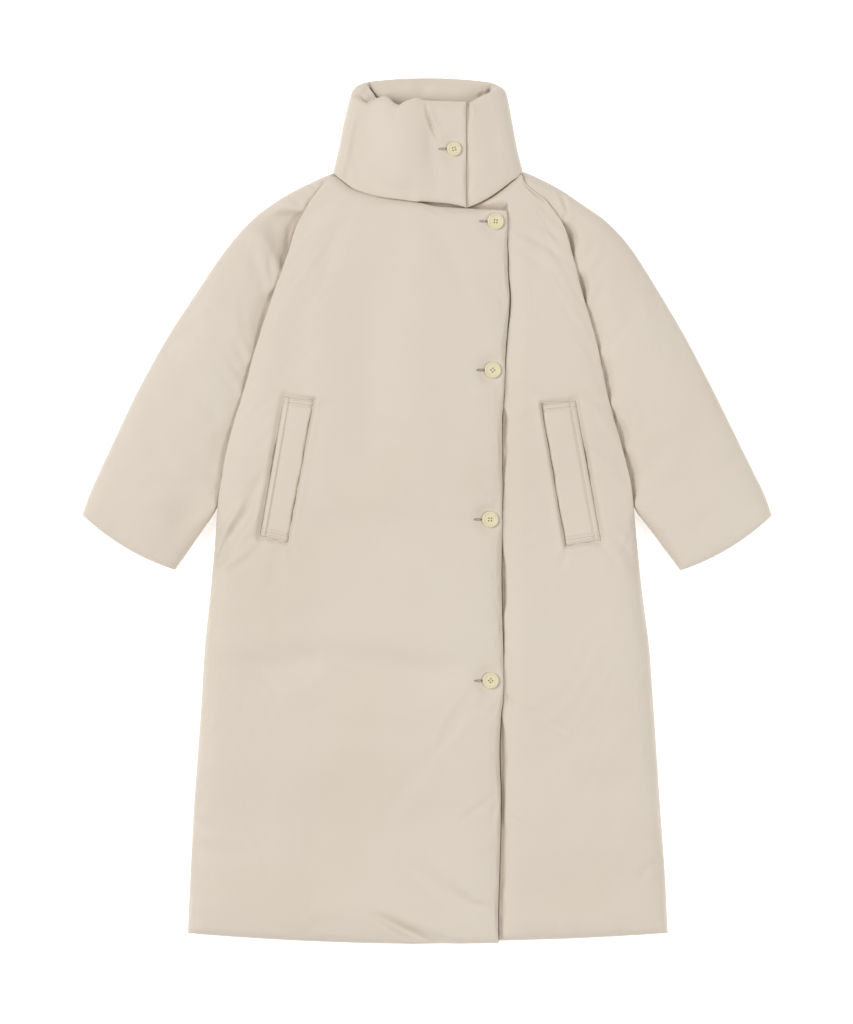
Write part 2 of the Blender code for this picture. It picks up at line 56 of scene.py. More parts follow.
# Levels of the layers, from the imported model
BACK_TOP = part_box("back")[1].z
FRONT_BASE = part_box("front_left")[0].z
WELT_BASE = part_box("welt_right")[0].z
SEAM_GAP = FRONT_BASE - BACK_TOP
LAPPED_WALL = 0.012
LAP_BASE = FRONT_BASE + LAPPED_WALL + SEAM_GAP
FRONT_WALL = WELT_BASE - SEAM_GAP - FRONT_BASE
LAPPING_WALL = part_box("button_1")[0].z - SEAM_GAP - LAP_BASE
SLEEVE_WALL = 0.018
COLLAR_WALL = 0.016

# Body, a row for each section from the hem up: height, right side, left side
RIGHT, LEFT = 1, 2
BODY_SIDES = np.array((
    (-0.612, -0.347, 0.349), (-0.529, -0.343, 0.345),
    (-0.431, -0.338, 0.338), (-0.295, -0.328, 0.329),
    (-0.198, -0.322, 0.322), (-0.120, -0.314, 0.312),
    (-0.043, -0.307, 0.304), (0.007, -0.303, 0.299),
    (0.043, -0.297, 0.293), (0.094, -0.287, 0.281), (0.158, -0.267, 0.263), (0.240, -0.244, 0.246),
    (0.303, -0.225, 0.227), (0.367, -0.202, 0.210), (0.413, -0.187, 0.196), (0.447, -0.170, 0.174),
    (0.462, -0.159, 0.156), (0.475, -0.149, 0.1415), (0.488, -0.138, 0.137),
))
HEM_HEIGHT, NECK_HEIGHT = BODY_SIDES[0, 0], BODY_SIDES[-1, 0]
ARMPIT_HEIGHT = 0.007
HEM_HALF_WIDTH = 0.348
HEM_BOW, SHORT_HEM_BOW = 0.015, 0.012
NECK_FADE, HEM_FADE = 8, 4
LAP, LAP_TAPER, LAP_RIM, LAP_CLEARANCE = 0.150, 0.045, 0.003, 0.0003
OVER_END = 0.057         # where the collar's upper end stops

# How far the left front's swell stands back from the free edge on it, and how deep the gap beside
# the edge then is: height, share of the widest, share of the deepest
EDGE_GAPE = np.array((
    (-0.623, 1.00, 0.55), (-0.470, 0.95, 0.58), (-0.430, 0.72, 0.90), (-0.325, 0.80, 0.90),
    (-0.290, 0.10, 0.40), (-0.225, 0.02, 0.15), (-0.190, 0.22, 0.45), (-0.150, 0.28, 0.50),
    (-0.130, 0.62, 0.80), (-0.080, 0.58, 0.80), (-0.050, 0.15, 0.40), (-0.032, 0.00, 0.15),
    (0.004, 0.02, 0.15), (0.040, 0.25, 0.35), (0.075, 0.55, 0.50), (0.110, 0.90, 0.62),
    (0.135, 0.75, 0.62), (0.152, 0.05, 0.20), (0.200, 0.01, 0.15), (0.215, 0.10, 0.30),
    (0.255, 0.10, 0.40), (0.280, 0.18, 0.60), (0.315, 0.18, 0.65), (0.345, 0.10, 0.40),
    (0.372, 0.16, 0.40), (0.392, 0.00, 0.15), (0.434, 0.00, 0.15),
))
GAPE_WIDTH, GAPE_SHELF = 0.0125, 0.34

# Free edge of the right front, from the hem up: height, place across. It waves a little.
FRONT_EDGE = np.array((
    (-0.626, 0.1045), (-0.578, 0.103), (-0.510, 0.105), (-0.410, 0.107),
    (-0.347, 0.105), (-0.298, 0.107), (-0.257, 0.111), (-0.096, 0.108),
    (0.028, 0.1095), (0.131, 0.109), (0.172, 0.112), (0.236, 0.114),
    (0.318, 0.1195), (0.379, 0.117), (0.434, 0.117),
))

# Necklines, from the right to the left: place across, height
RIGHT_FRONT_NECK = np.array((
    (-0.138, 0.488), (-0.127, 0.480), (-0.108, 0.466), (-0.074, 0.455),
    (-0.033, 0.449), (-0.013, 0.446), (0.017, 0.440), (0.117, 0.434),
))
LEFT_FRONT_NECK = np.array((
    (-0.033, 0.428), (0.020, 0.430), (0.060, 0.439), (0.089, 0.452),
    (0.115, 0.470), (0.137, 0.488),
))
BACK_NECK = np.array((
    (-0.138, 0.488), (-0.070, 0.477), (0.000, 0.474), (0.070, 0.477), (0.137, 0.488),
))

# Sleeves, a row for each section from the neck down: the height where it meets the armhole, then
# its outer end on the right sleeve and on the left. The last two rows are below the armpit.
SLEEVE_SECTIONS = np.array((
    (0.487, -0.1410, 0.4869, 0.1402, 0.4905), (0.478, -0.153, 0.482, 0.152, 0.486),
    (0.455, -0.191, 0.464, 0.190, 0.467), (0.420, -0.227, 0.442, 0.226, 0.443),
    (0.375, -0.260, 0.415, 0.262, 0.417), (0.310, -0.296, 0.372, 0.297, 0.378),
    (0.240, -0.338, 0.310, 0.340, 0.310), (0.165, -0.377, 0.250, 0.378, 0.245),
    (0.100, -0.419, 0.174, 0.420, 0.164), (0.045, -0.449, 0.111, 0.450, 0.103),
    (0.007, -0.470, 0.066, 0.472, 0.058), (-0.034, -0.486, 0.031, 0.488, 0.026),
    (-0.086, -0.500, -0.006, 0.500, -0.007),
))
BELOW_ARMPIT = {RIGHT: ((-0.329, -0.034), (-0.365, -0.086)),
                LEFT: ((0.328, -0.034), (0.367, -0.087))}
CUFF_BOW = 0.008
ARMHOLE_GAP = 0.0004


# ---- curves, noise and profiles

LATTICE = 255
PUCKER_WAVES = ((0.011, 0.00035), (0.019, 0.0006), (0.033, 0.0009), (0.058, 0.0012))
RIDGE_SHARE, RIDGE_PLACE = 0.28, 1.9     # of the ridge beside a crease


def mix(start, end, share):
    return start + (end - start) * share


def read_curve(rows, place, column=1):
    """Values of a table's column at places between its rows, on a smooth curve through them."""
    xs, ys = rows[:, 0], rows[:, column]
    place = np.clip(place, xs[0], xs[-1])
    index = np.clip(np.searchsorted(xs, place, side="right") - 1, 0, len(xs) - 2)
    before = np.maximum(index - 1, 0)
    after = np.minimum(index + 2, len(xs) - 1)
    span = xs[index + 1] - xs[index]
    slope_start = (ys[index + 1] - ys[before]) / (xs[index + 1] - xs[before])
    slope_end = (ys[after] - ys[index]) / (xs[after] - xs[index])
    t = (place - xs[index]) / span
    return (ys[index] * (1 + 2 * t) * (1 - t) ** 2 + ys[index + 1] * t * t * (3 - 2 * t)
            + span * t * (1 - t) * (slope_start * (1 - t) - slope_end * t))


def smooth(t):
    return t * t * (3 - 2 * t)


def smooth_step(value, start, end):
    return smooth(np.clip((value - start) / (end - start), 0.0, 1.0))


def bell(away, width):
    return np.exp(-(away / width) ** 2)


def bulge(away, reach):
    """0 at an edge, 1 at a reach from it, and fading from there."""
    return away / reach * np.exp(1 - away / reach)


def spaced(length, pitch, edge_pitch, edge_width):
    """Shares from 0 to 1 along a length, closer together near both ends."""
    steps, here = [], 0.0
    while here < length / 2:
        steps.append(here)
        here += mix(edge_pitch, pitch, min(here / edge_width, 1.0))
    half = 0.5 * np.array(steps) / steps[-1]
    return np.concatenate([half, 1 - half[-2::-1]])


def refined(shares, low, high, pitch):
    """Shares of a length with closer ones, a pitch apart, between two of them."""
    inner = np.linspace(low, high, max(2, round((high - low) / pitch)))
    return np.concatenate([shares[shares < low - pitch], inner, shares[shares > high + pitch]])


def lumps(x, y, size, seed):
    """Smooth noise between about -1 and 1, with lumps of a size."""
    lattice = np.random.default_rng(seed).uniform(-1, 1, (LATTICE + 1, LATTICE + 1))
    u, v = x / size + 100.0, y / size + 100.0
    i, j = np.floor(u).astype(int), np.floor(v).astype(int)
    a, b = smooth(u - i), smooth(v - j)
    i, j = i % LATTICE, j % LATTICE
    low = mix(lattice[i, j], lattice[i + 1, j], a)
    high = mix(lattice[i, j + 1], lattice[i + 1, j + 1], a)
    return mix(low, high, b)


def wavering(along, size, seed, row=0.0):
    """Smooth noise along a line, from one row of the lumps."""
    return lumps(along, along * 0 + row, size, seed)


def puckers(along, inward, strength, seed):
    """Gathers that a seam pulls into the cloth: fine ones close to it, wider ones further in."""
    random = np.random.default_rng(seed)
    total = np.zeros_like(along)
    for wave, height in PUCKER_WAVES:
        drift = wavering(along, wave * 3.1, seed + 7, wave * 50) * 2.4
        uneven = 0.55 + 0.6 * wavering(along, wave * 4.3, seed + 11, wave * 90)
        phase = random.uniform(0, math.tau)
        ripple = np.sin(math.tau * along / wave + drift + phase)
        total += height * ripple * uneven * np.exp(-inward / (0.55 * wave))
    return total * strength


def crease_depth(x, y, creases):
    """How far the creases push the surface down at each point. A low ridge runs beside each.

    A crease is a row of millimetres: x and y of its start, x and y of its end, how far it bows
    sideways, half its width, and its depth, which is negative for a ridge.
    """
    total = np.zeros_like(x)
    for crease in creases:
        x1, y1, x2, y2, bow, width, depth = (value / 1000 for value in crease)
        length = math.hypot(x2 - x1, y2 - y1)
        ux, uy = (x2 - x1) / length, (y2 - y1) / length
        t = ((x - x1) * ux + (y - y1) * uy) / length
        inside = np.clip(t, 0.0, 1.0)
        aside = (x - x1) * uy - (y - y1) * ux - bow * 4 * inside * (1 - inside)
        beyond = np.maximum(np.abs(t - 0.5) - 0.5, 0.0) * length
        taper = np.sin(math.pi * np.clip(0.5 + (t - 0.5) * 0.94, 0.03, 0.97)) ** 0.8
        narrow = width * (0.6 + 0.4 * taper)
        spread = (aside ** 2 + beyond ** 2) / narrow ** 2
        beside = ((np.abs(aside) - RIDGE_PLACE * narrow) ** 2 + beyond ** 2) / narrow ** 2
        total += depth * taper * (np.exp(-spread) - RIDGE_SHARE * np.exp(-beside))
    return total


def spacing_along(points, axis):
    """Running length along one axis of a grid of points."""
    steps = np.linalg.norm(np.diff(points, axis=axis), axis=-1)
    first = np.zeros_like(np.take(steps, [0], axis=axis))
    return np.concatenate([first, np.cumsum(steps, axis=axis)], axis=axis)


def along_line(x, y, start, end):
    """How far along a line each place is, as a share of it, and how far it is from the line."""
    line = np.subtract(end, start)
    along = ((x - start[0]) * line[0] + (y - start[1]) * line[1]) / (line @ line)
    inside = np.clip(along, 0, 1)
    return along, np.hypot(x - start[0] - inside * line[0], y - start[1] - inside * line[1])


def aside_of(x, y, line):
    """Distance from a line to its left, seen along it."""
    (x1, y1), (x2, y2) = line
    return ((x2 - x1) * (y - y1) - (y2 - y1) * (x - x1)) / math.hypot(x2 - x1, y2 - y1)


def outside(x, y, corners):
    """Distance outside a four-cornered outline, and 0 inside it."""
    depth = away = np.full(x.shape, np.inf)
    for side in zip(corners, corners[1:] + corners[:1]):
        inward = math.copysign(1.0, aside_of(*np.mean(corners, axis=0), side))
        depth = np.minimum(depth, aside_of(x, y, side) * inward)
        away = np.minimum(away, along_line(x, y, *side)[1])
    return np.where(depth > 0, 0.0, away)


# ---- walls

def slab(outer, inner):
    """Points and faces of the closed wall between two matching grids, and its outer rim."""
    rows, columns = outer.shape[:2]
    count = rows * columns
    index = np.arange(count).reshape(rows, columns)
    quads = np.stack([index[:-1, :-1], index[:-1, 1:], index[1:, 1:], index[1:, :-1]], axis=-1)
    quads = quads.reshape(-1, 4)
    rim = np.concatenate([index[0, :-1], index[:-1, -1], index[-1, :0:-1], index[:0:-1, 0]])
    after = np.roll(rim, -1)
    band = np.stack([after, rim, rim + count, after + count], axis=-1)
    faces = np.concatenate([quads, quads[:, ::-1] + count, band])
    points = np.concatenate([outer.reshape(-1, 3), inner.reshape(-1, 3)])
    a, b, c, d = (points[faces[:, corner]] for corner in range(4))
    volume = (np.cross(a, b) * c).sum() + (np.cross(a, c) * d).sum()
    return points, faces if volume > 0 else faces[:, ::-1], rim


def add_object(name, data):
    piece = bpy.data.objects.new(name, data)
    bpy.context.scene.collection.objects.link(piece)
    return piece


def add_piece(name, mesh, finish):
    """A visible piece, which rides on the coat's one body."""
    mesh.shade_smooth()
    mesh.materials.append(finish)
    piece = add_object(name, mesh)
    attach(piece, BODY)
    return piece


def mesh_of(name, points, faces):
    mesh = bpy.data.meshes.new(name)
    mesh.from_pydata(points.tolist(), [], faces.tolist())
    return mesh


def wall_piece(node, outer, inner):
    """One closed wall between two matching grids of points, which replaces a CAD node."""
    points, faces, _ = slab(outer, inner)
    piece = add_piece(f"{node}_cloth", mesh_of(node, points, faces), CLOTH)
    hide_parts(node)
    return piece


# ---- cloth that swells and gathers

FRAMES = 16
SEAM_SLACK, PANEL_SLACK = 0.060, 0.001     # extra cloth at the seams and between them
GATHER_REACH = 0.022
HELD_BY_FILL = 0.05
SWELL_CAP = 0.006
CLOTH_SETTINGS = {
    "quality": 4, "mass": 0.15, "tension_stiffness": 20.0, "compression_stiffness": 20.0,
    "shear_stiffness": 8.0, "bending_stiffness": 0.08, "tension_damping": 12.0,
    "compression_damping": 12.0, "shear_damping": 12.0, "air_damping": 4.0,
    "vertex_group_mass": "held", "pin_stiffness": 1.0, "vertex_group_shrink": "slack",
    "shrink_min": -PANEL_SLACK, "shrink_max": -SEAM_SLACK, "use_pressure": True,
    "uniform_pressure_force": 0.30,
}


def finer(coarse, picked, count, axis):
    """Values at every row or column, smoothly between those of the picked ones."""
    table = np.moveaxis(coarse, axis, 0)
    flat = table.reshape(len(picked), -1)
    knots = np.column_stack([np.asarray(picked, float), flat])
    places = np.arange(count, dtype=float)
    columns = [read_curve(knots, places, column + 1) for column in range(flat.shape[1])]
    full = np.stack(columns, axis=1).reshape((count,) + table.shape[1:])
    return np.moveaxis(full, 0, axis)


def set_cloth_physics(cloth):
    for name, value in CLOTH_SETTINGS.items():
        setattr(cloth.settings, name, value)
    cloth.settings.effector_weights.gravity = 0.0
    cloth.collision_settings.use_collision = False
    cloth.collision_settings.use_self_collision = False
    cloth.point_cache.frame_start, cloth.point_cache.frame_end = 1, FRAMES


def swelling(outer, inner, *edges, pitch=2):
    """Where Blender's Cloth takes a wall's outer face: held at its seams and lightly by the fill
    under it, with slack along the seams, so that it swells and gathers. The edges are distances
    from its seams. Returns each point's move.
    """
    rows, columns = outer.shape[:2]
    picked_rows, picked_columns = (sorted(set(range(0, size, pitch)) | {size - 1})
                                   for size in (rows, columns))
    picked = np.ix_(picked_rows, picked_columns)
    top = outer[picked]
    points, faces, rim = slab(top, inner[picked])
    count = top.shape[0] * top.shape[1]
    points, faces = points[:count], faces[(faces < count).all(axis=1)]
    sheet = add_object("swelling", mesh_of("swelling", points, faces))
    held = sheet.vertex_groups.new(name="held")
    slack = sheet.vertex_groups.new(name="slack")
    held.add(list(range(count)), HELD_BY_FILL, "REPLACE")
    held.add([int(index) for index in rim], 1.0, "REPLACE")
    for index, away in enumerate(np.minimum.reduce(edges)[picked].ravel()):
        slack.add([index], float(np.exp(-away / GATHER_REACH)), "REPLACE")
    set_cloth_physics(sheet.modifiers.new("cloth", "CLOTH"))
    scene = bpy.context.scene
    for frame_number in range(1, FRAMES + 1):
        scene.frame_set(frame_number)
    settled = sheet.evaluated_get(bpy.context.evaluated_depsgraph_get()).data
    moved = np.empty(count * 3)
    settled.vertices.foreach_get("co", moved)
    moves = (moved.reshape(-1, 3) - points).reshape(top.shape)
    scene.frame_set(1)
    bpy.data.objects.remove(sheet, do_unlink=True)
    size = np.linalg.norm(moves, axis=-1, keepdims=True)
    moves = moves * SWELL_CAP * np.tanh(size / SWELL_CAP) / np.maximum(size, 1e-9)
    return finer(finer(moves, picked_rows, rows, 0), picked_columns, columns, 1)


def body_places(columns, heights, neck, hem_bow):
    """Grid of places up a body panel. Each column is its place across as a function of height."""
    up = (heights - HEM_HEIGHT) / (NECK_HEIGHT - HEM_HEIGHT)
    places = np.empty((len(heights), len(columns), 2))
    for index, column in enumerate(columns):
        neck_drop = read_curve(neck, column(NECK_HEIGHT)) - NECK_HEIGHT
        hem_drop = hem_bow * (1 - (column(HEM_HEIGHT) / HEM_HALF_WIDTH) ** 2)
        drop = hem_drop * (1 - up) ** HEM_FADE
        places[:, index, 0] = column(heights)
        places[:, index, 1] = heights + neck_drop * up ** NECK_FADE - drop
    return places


def side_x(height, side):
    return read_curve(BODY_SIDES, height, side)


def edge_x(height):
    return read_curve(FRONT_EDGE, height)


def body_heights(pitch):
    return mix(HEM_HEIGHT, NECK_HEIGHT, spaced(1.1, pitch, 0.0022, 0.03))


# How a wall thins towards an edge: its height there as a share, how far in it is full height, how
# far in its crown is, and how steep it is: 1 for a rounded edge, 0 for a gentle slope
Edge = namedtuple("Edge", "rim reach crown steep")


def edge_share(inward, edge):
    """Share of the full wall at a distance from an edge."""
    near, far = np.clip(inward / edge.reach, 0, 1), np.clip(inward / edge.crown, 0, 1)
    steep = 0.72 * np.sqrt(1 - (1 - near) ** 2) + 0.28 * np.sqrt(1 - (1 - far) ** 2)
    gentle = 0.72 * np.sin(near * math.pi / 2) + 0.28 * np.sin(far * math.pi / 2)
    return edge.rim + (1 - edge.rim) * mix(gentle, steep, edge.steep)


def soft_min(*shares):
    total = sum(share ** -4.0 for share in shares) - (len(shares) - 1)
    return total ** -0.25


def distances(places):
    """Distances of a grid's points from its first and last column and its first and last row."""
    across = spacing_along(places, 1)
    up = spacing_along(places, 0)
    return across, across[:, -1:] - across, up, up[-1:] - up


def stack(places, heights):
    heights = np.broadcast_to(heights, places.shape[:-1])
    return np.concatenate([places, heights[..., None]], axis=-1)


def between(first, last, shares):
    """Columns of a panel between two lines, each line its place across as a function of height."""
    return [lambda y, share=share: mix(first(y), last(y), share) for share in shares]


# ---- finishes

def new_material(name, values):
    """A material with values on its shader, and its node tree and shader."""
    material = bpy.data.materials.new(name)
    material.use_nodes = True
    shader = material.node_tree.nodes["Principled BSDF"]
    for socket, value in values.items():
        shader.inputs[socket].default_value = value
    return material, material.node_tree, shader


def add_node(tree, kind, **values):
    """A new node with values: a socket is linked to an input, and others are set."""
    node = tree.nodes.new(kind)
    for name, value in values.items():
        if name not in node.inputs:
            setattr(node, name, value)
        elif isinstance(value, bpy.types.NodeSocket):
            tree.links.new(value, node.inputs[name])
        else:
            node.inputs[name].default_value = value
    return node


def tinted_material(name, values, noise, colours, stops=(0.0, 1.0)):
    """A material whose colour drifts between two with a noise, and its tree, shader and places."""
    material, tree, shader = new_material(name, values)
    places = add_node(tree, "ShaderNodeTexCoord").outputs["Object"]
    tone = add_node(tree, "ShaderNodeTexNoise", Vector=places, **noise)
    ramp = add_node(tree, "ShaderNodeValToRGB", Fac=tone.outputs["Fac"])
    for element, stop, colour in zip(ramp.color_ramp.elements, stops, colours):
        element.position, element.color = stop, (*colour, 1.0)
    tree.links.new(ramp.outputs["Color"], shader.inputs["Base Color"])
    return material, tree, shader, places


def make_cloth():
    """Tightly woven shell cloth: a fine plain weave, a faint sheen and slightly uneven tone."""
    material, tree, shader, places = tinted_material(
        "shell_cloth",
        {"Roughness": 0.62, "Sheen Weight": 0.12, "Sheen Roughness": 0.45,
         "Sheen Tint": (1.0, 0.97, 0.93, 1.0), "Specular IOR Level": 0.3},
        {"Scale": 3.2, "Detail": 3.0, "Roughness": 0.5},
        ((0.668, 0.592, 0.500), (0.700, 0.627, 0.542)), (0.30, 0.72))
    weave = add_node(tree, "ShaderNodeMath", operation="MULTIPLY")
    for index, axis in enumerate("XY"):
        wave = add_node(tree, "ShaderNodeTexWave", Vector=places, Scale=520.0, Distortion=0.6,
                        Detail=1.0, bands_direction=axis)
        tree.links.new(wave.outputs["Fac"], weave.inputs[index])
    crinkle = add_node(tree, "ShaderNodeTexNoise", Vector=places, Scale=70.0, Detail=4.0,
                       Roughness=0.55, Distortion=0.4)
    weave_bump = add_node(tree, "ShaderNodeBump", Strength=0.10, Distance=0.0002,
                          Height=weave.outputs["Value"])
    crinkle_bump = add_node(tree, "ShaderNodeBump", Strength=0.18, Distance=0.0016,
                            Height=crinkle.outputs["Fac"], Normal=weave_bump.outputs["Normal"])
    tree.links.new(crinkle_bump.outputs["Normal"], shader.inputs["Normal"])
    return material


def make_thread(name, colour):
    deep = tuple(0.82 * value for value in colour)
    return tinted_material(name, {"Roughness": 0.75}, {"Scale": 900.0, "Detail": 2.0},
                           (deep, colour))[0]


CLOTH = make_cloth()
THREAD = make_thread("shell_thread", (0.47, 0.41, 0.355))
BUTTON_THREAD = make_thread("button_thread", (0.66, 0.58, 0.39))
# painted shade: a near-black colour for a thin rod along each buttonhole's slit, standing in for
# the shadow inside the open slit
SLIT_SHADE = make_thread("slit_shade", (0.16, 0.12, 0.085))
BUTTON_RESIN = tinted_material(
    "button_resin", {"Roughness": 0.34, "Coat Weight": 0.15, "Coat Roughness": 0.2},
    {"Scale": 110.0, "Detail": 3.0}, ((0.735, 0.650, 0.425), (0.800, 0.722, 0.505)))[0]


# ---- body

SEAM = Edge(0.20, 0.024, 0.090, 1.0)
RAGLAN_BODY = Edge(0.68, 0.018, 0.100, 1.0)
RAGLAN_SLEEVE = Edge(0.70, 0.034, 0.090, 0.4)
FREE_EDGE = Edge(0.54, 0.007, 0.060, 1.0)
HEM_EDGE = Edge(0.55, 0.012, 0.055, 1.0)
NECK_SEAM = Edge(0.60, 0.012, 0.055, 0.6)
FULL_CROWN = 1.30        # the filled walls swell this much above the plain ones mid panel
LAPPING_CROWN = 1.28
FREE_LEVEL = LAP_BASE - FRONT_BASE + LAPPING_WALL * LAPPING_CROWN * FREE_EDGE.rim
THINNEST = 0.0025        # no outer face comes nearer to its inner face
LIP_REACH = 0.003
PRESSED, WELT_PRESSED = 0.0002, 0.0004   # how far below its button or welt a front is pressed
SETTLE_REACH = 0.0105    # how far round its middle a button presses the cloth flat
SCALLOP_DEPTH = 0.0005
THIN_WALL = 0.010        # creases are shallower where a wall is thinner than this

FRONT_CREASES = (
    # fan below the right welt, towards the side seam
    (-232, 58, -264, -20, 4, 9, 3.2), (-250, 6, -309, -82, 3, 9, 6.2),
    (-262, 20, -304, -63, 3, 5, -2.6), (-240, -36, -309, -88, -6, 6, -2.6),
    (-293, -49, -307, -74, 0, 3, 2.0), (-297, -62, -308, -86, 0, 3, 2.0),
    (-199, -46, -189, -74, 2, 5, 1.6), (-214, -60, -236, -120, -6, 11, 1.2),
    # its fainter likeness on the left
    (253, -4, 296, -38, -4, 6, 1.8), (253, -54, 277, -79, -2, 6, 1.4),
    (262, -20, 304, -96, -6, 8, 1.6), (203, -54, 196, -84, 0, 5, 1.2),
    # from the fourth button
    (67, -262, 6, -356, -5, 7, 1.8), (10, -350, -57, -449, 6, 12, 1.4),
    (-50, -500, 70, -590, 0, 20, 6.0), (60, -268, 20, -330, 3, 5, 1.5),
    (112, -262, 124, -284, 0, 3, 3.0), (122, -281, 233, -346, -5, 8, 2.4),
    # across the right front
    (-290, -224, -148, -210, 10, 24, 6.0), (-148, -210, 60, -236, 8, 26, 6.5),
    (-200, -160, -120, -140, -5, 18, 1.2), (-180, -18, 84, -30, 0, 30, 4.2),
    (-330, -452, 70, -462, 0, 58, 6.0), (205, -398, 345, -408, 0, 30, 4.0),
    (130, -560, 335, -535, 0, 32, 3.5), (-150, 330, -146, 10, 0, 27, -3.6),
    (-84, 330, -84, 20, 0, 22, 2.6), (-14, 410, -14, 60, 0, 34, -3.4),
    # from the first button and the shoulder on the left
    (122, 410, 205, 358, -4, 7, 2.4), (157, 416, 192, 391, -2, 5, 1.8),
    (126, 380, 180, 344, -4, 8, 1.3), (138, 476, 174, 446, 2, 2.2, 2.6),
    # from the second button
    (115, 182, 275, 149, -4, 7, 1.8), (118, 165, 240, 142, -3, 6, 1.1),
    (222, 173, 254, 153, -2, 6, 1.4),
    # hem and sides
    (-74, -583, 60, -636, 8, 8, 10.0), (-30, -584, 30, -606, 6, 8, -1.2),
    (34, -546, 80, -577, 2, 7, 2.0), (62, -568, 99, -579, -2, 4, 2.0),
    (45, -453, 99, -410, 0, 5, 1.6), (120, -439, 147, -477, -3, 4, 1.8),
    (346, -505, 304, -535, 4, 6, 2.0), (-330, -480, -250, -500, 6, 12, 1.6),
    (-340, -440, -300, -470, 4, 7, 1.4), (-110, 430, -150, 330, 8, 12, 1.4),
    (0, 420, 60, 300, -8, 14, 1.2), (-60, 330, 40, 250, 10, 20, 1.3),
    (-150, 60, -60, 10, 10, 22, 1.2), (180, -420, 300, -470, 10, 18, 1.4),
    (150, 60, 210, -20, 6, 16, 1.0),
)

# Welts: outer top, inner top, inner bottom and outer bottom corner
WELTS = {
    "welt_right": ((-0.206, 0.165), (-0.164, 0.160), (-0.202, -0.046), (-0.241, -0.037)),
    "welt_left": ((0.214, 0.159), (0.166, 0.154), (0.201, -0.051), (0.251, -0.043)),
}


# Shares of each front's width, from its side seam or from the free edge, that its welt lies in
WELT_COLUMNS = {RIGHT: (0.19, 0.40), LEFT: (0.30, 0.74)}


def fill_shape(x, y, rise, strength=1.0):
    """The down's own unevenness, which fades where the wall is thin."""
    soft = 1.5 * lumps(x, y, 0.16, 3) + 0.8 * lumps(x, y, 0.075, 5) + 0.35 * lumps(x, y, 0.034, 9)
    return 0.001 * strength * soft * np.clip(rise / 0.012, 0.0, 1.0)


def armhole_blend(heights):
    """1 up the armhole and 0 down the side seam, for each row of points."""
    return smooth_step(heights, ARMPIT_HEIGHT - 0.06, ARMPIT_HEIGHT + 0.02)[:, None]


def seam_pull(heights):
    """Strength of the gathers up each side: full along the side seam, slight up the armhole."""
    return mix(1.0, 0.35, armhole_blend(heights))


def raglan_fade(heights):
    """How much the raglan seams' dip fades towards the neck."""
    return 0.6 * smooth_step(heights, 0.40, 0.46)[:, None]


def side_share(inward, heights):
    above = mix(edge_share(inward, RAGLAN_BODY), 1.0, raglan_fade(heights))
    below = edge_share(inward, SEAM)
    return mix(below, above, armhole_blend(heights))


def lip(inward, heights, seed):
    """How far the body's filled edge hangs out over the sleeve, past the raglan seam."""
    size = 0.0044 + 0.0014 * wavering(heights, 0.075, seed)
    size = size + 0.0006 * wavering(heights, 0.024, seed + 1)
    size = size * smooth_step(heights, ARMPIT_HEIGHT - 0.04, ARMPIT_HEIGHT + 0.04)
    size = size * (1 - 0.75 * smooth_step(heights, 0.38, 0.46))
    return size[:, None] * bulge(inward, LIP_REACH)


def thin_share(rise, least):
    """How much of a crease's depth a wall takes, at least a share of it where it is thin."""
    return np.clip(rise / THIN_WALL, least, 1.0)


def settle_under(x, y, top, buttons):
    """Press a surface flat under each button, so that the cloth swells round it."""
    for name in buttons:
        low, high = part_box(name)
        away = np.hypot(x - (low.x + high.x) / 2, y - (low.y + high.y) / 2)
        top = mix(top, low.z - PRESSED, bell(np.maximum(away - SETTLE_REACH, 0.0), SETTLE_REACH))
    return top


def settle_under_welts(x, y, top):
    """Press a front flat under each welt, with a puff past its seam and a groove at its mouth."""
    for corners in WELTS.values():
        away = outside(x, y, corners)
        past_seam = smooth_step(along_line(x, y, *corners[:2])[0], 0.30, 1.05)
        puff = mix(0.0003, 0.0014, past_seam) * bell(away - 0.006, 0.006)
        along, beside = along_line(x, y, corners[0], corners[3])
        press = bell(away, mix(0.0024, 0.0056, bell(beside - away, 0.004)))
        top = mix(top + puff, WELT_BASE - WELT_PRESSED, press)
        gape = bell(along - 0.46, 0.14) * (0.80 + 0.4 * wavering(along * 0.2, 0.012, 77))
        top = top - 0.0022 * gape * bell(beside, 0.0034)
    return top


def filled(places, level, plain, inner, edges, gathers, creases, strength=1.0, least=0.2):
    """How far a plain wall's top rises above its level once it is filled, gathered and creased.

    Each gather has its place along a seam, its distance from the seam, its strength and its seed.
    Also returned are the depth of the creases and how the cloth moved as it swelled.
    """
    x, y = places[..., 0], places[..., 1]
    moves = swelling(stack(places, level + plain), inner, *edges)
    rise = plain + moves[..., 2]
    rise += fill_shape(x, y, rise, strength)
    for gather in gathers:
        rise += puckers(*gather)
    creased = crease_depth(x, y, creases) * thin_share(rise, least)
    return rise - creased, creased, moves


def make_back():
    heights = body_heights(0.007)
    shares = spaced(0.6, 0.007, 0.0025, 0.04)
    columns = between(lambda y: side_x(y, RIGHT), lambda y: side_x(y, LEFT), shares)
    places = body_places(columns, heights, BACK_NECK, SHORT_HEM_BOW)
    start, end, hem, neck = distances(places)
    share = soft_min(side_share(start, heights), side_share(end, heights),
                     edge_share(hem, HEM_EDGE), edge_share(neck, NECK_SEAM))
    x, y = places[..., 0], places[..., 1]
    rise = BACK_TOP * share * FULL_CROWN
    inner = stack(places, BACK_TOP)
    moves = swelling(stack(places, BACK_TOP - rise), inner, start, end, hem, neck, pitch=1)
    rise -= moves[..., 2]
    rise += puckers(y, start, 1.0, 21) + puckers(y, end, 1.0, 22) + puckers(x, hem, 0.6, 23)
    outer = stack(places, np.maximum(BACK_TOP - rise, 0.0))
    outer[..., :2] += moves[..., :2]
    wall_piece("back", outer, inner)


def inset_columns(insets):
    """Columns at distances inwards from the free edge."""
    return [lambda y, inset=inset: edge_x(y) - inset for inset in insets]


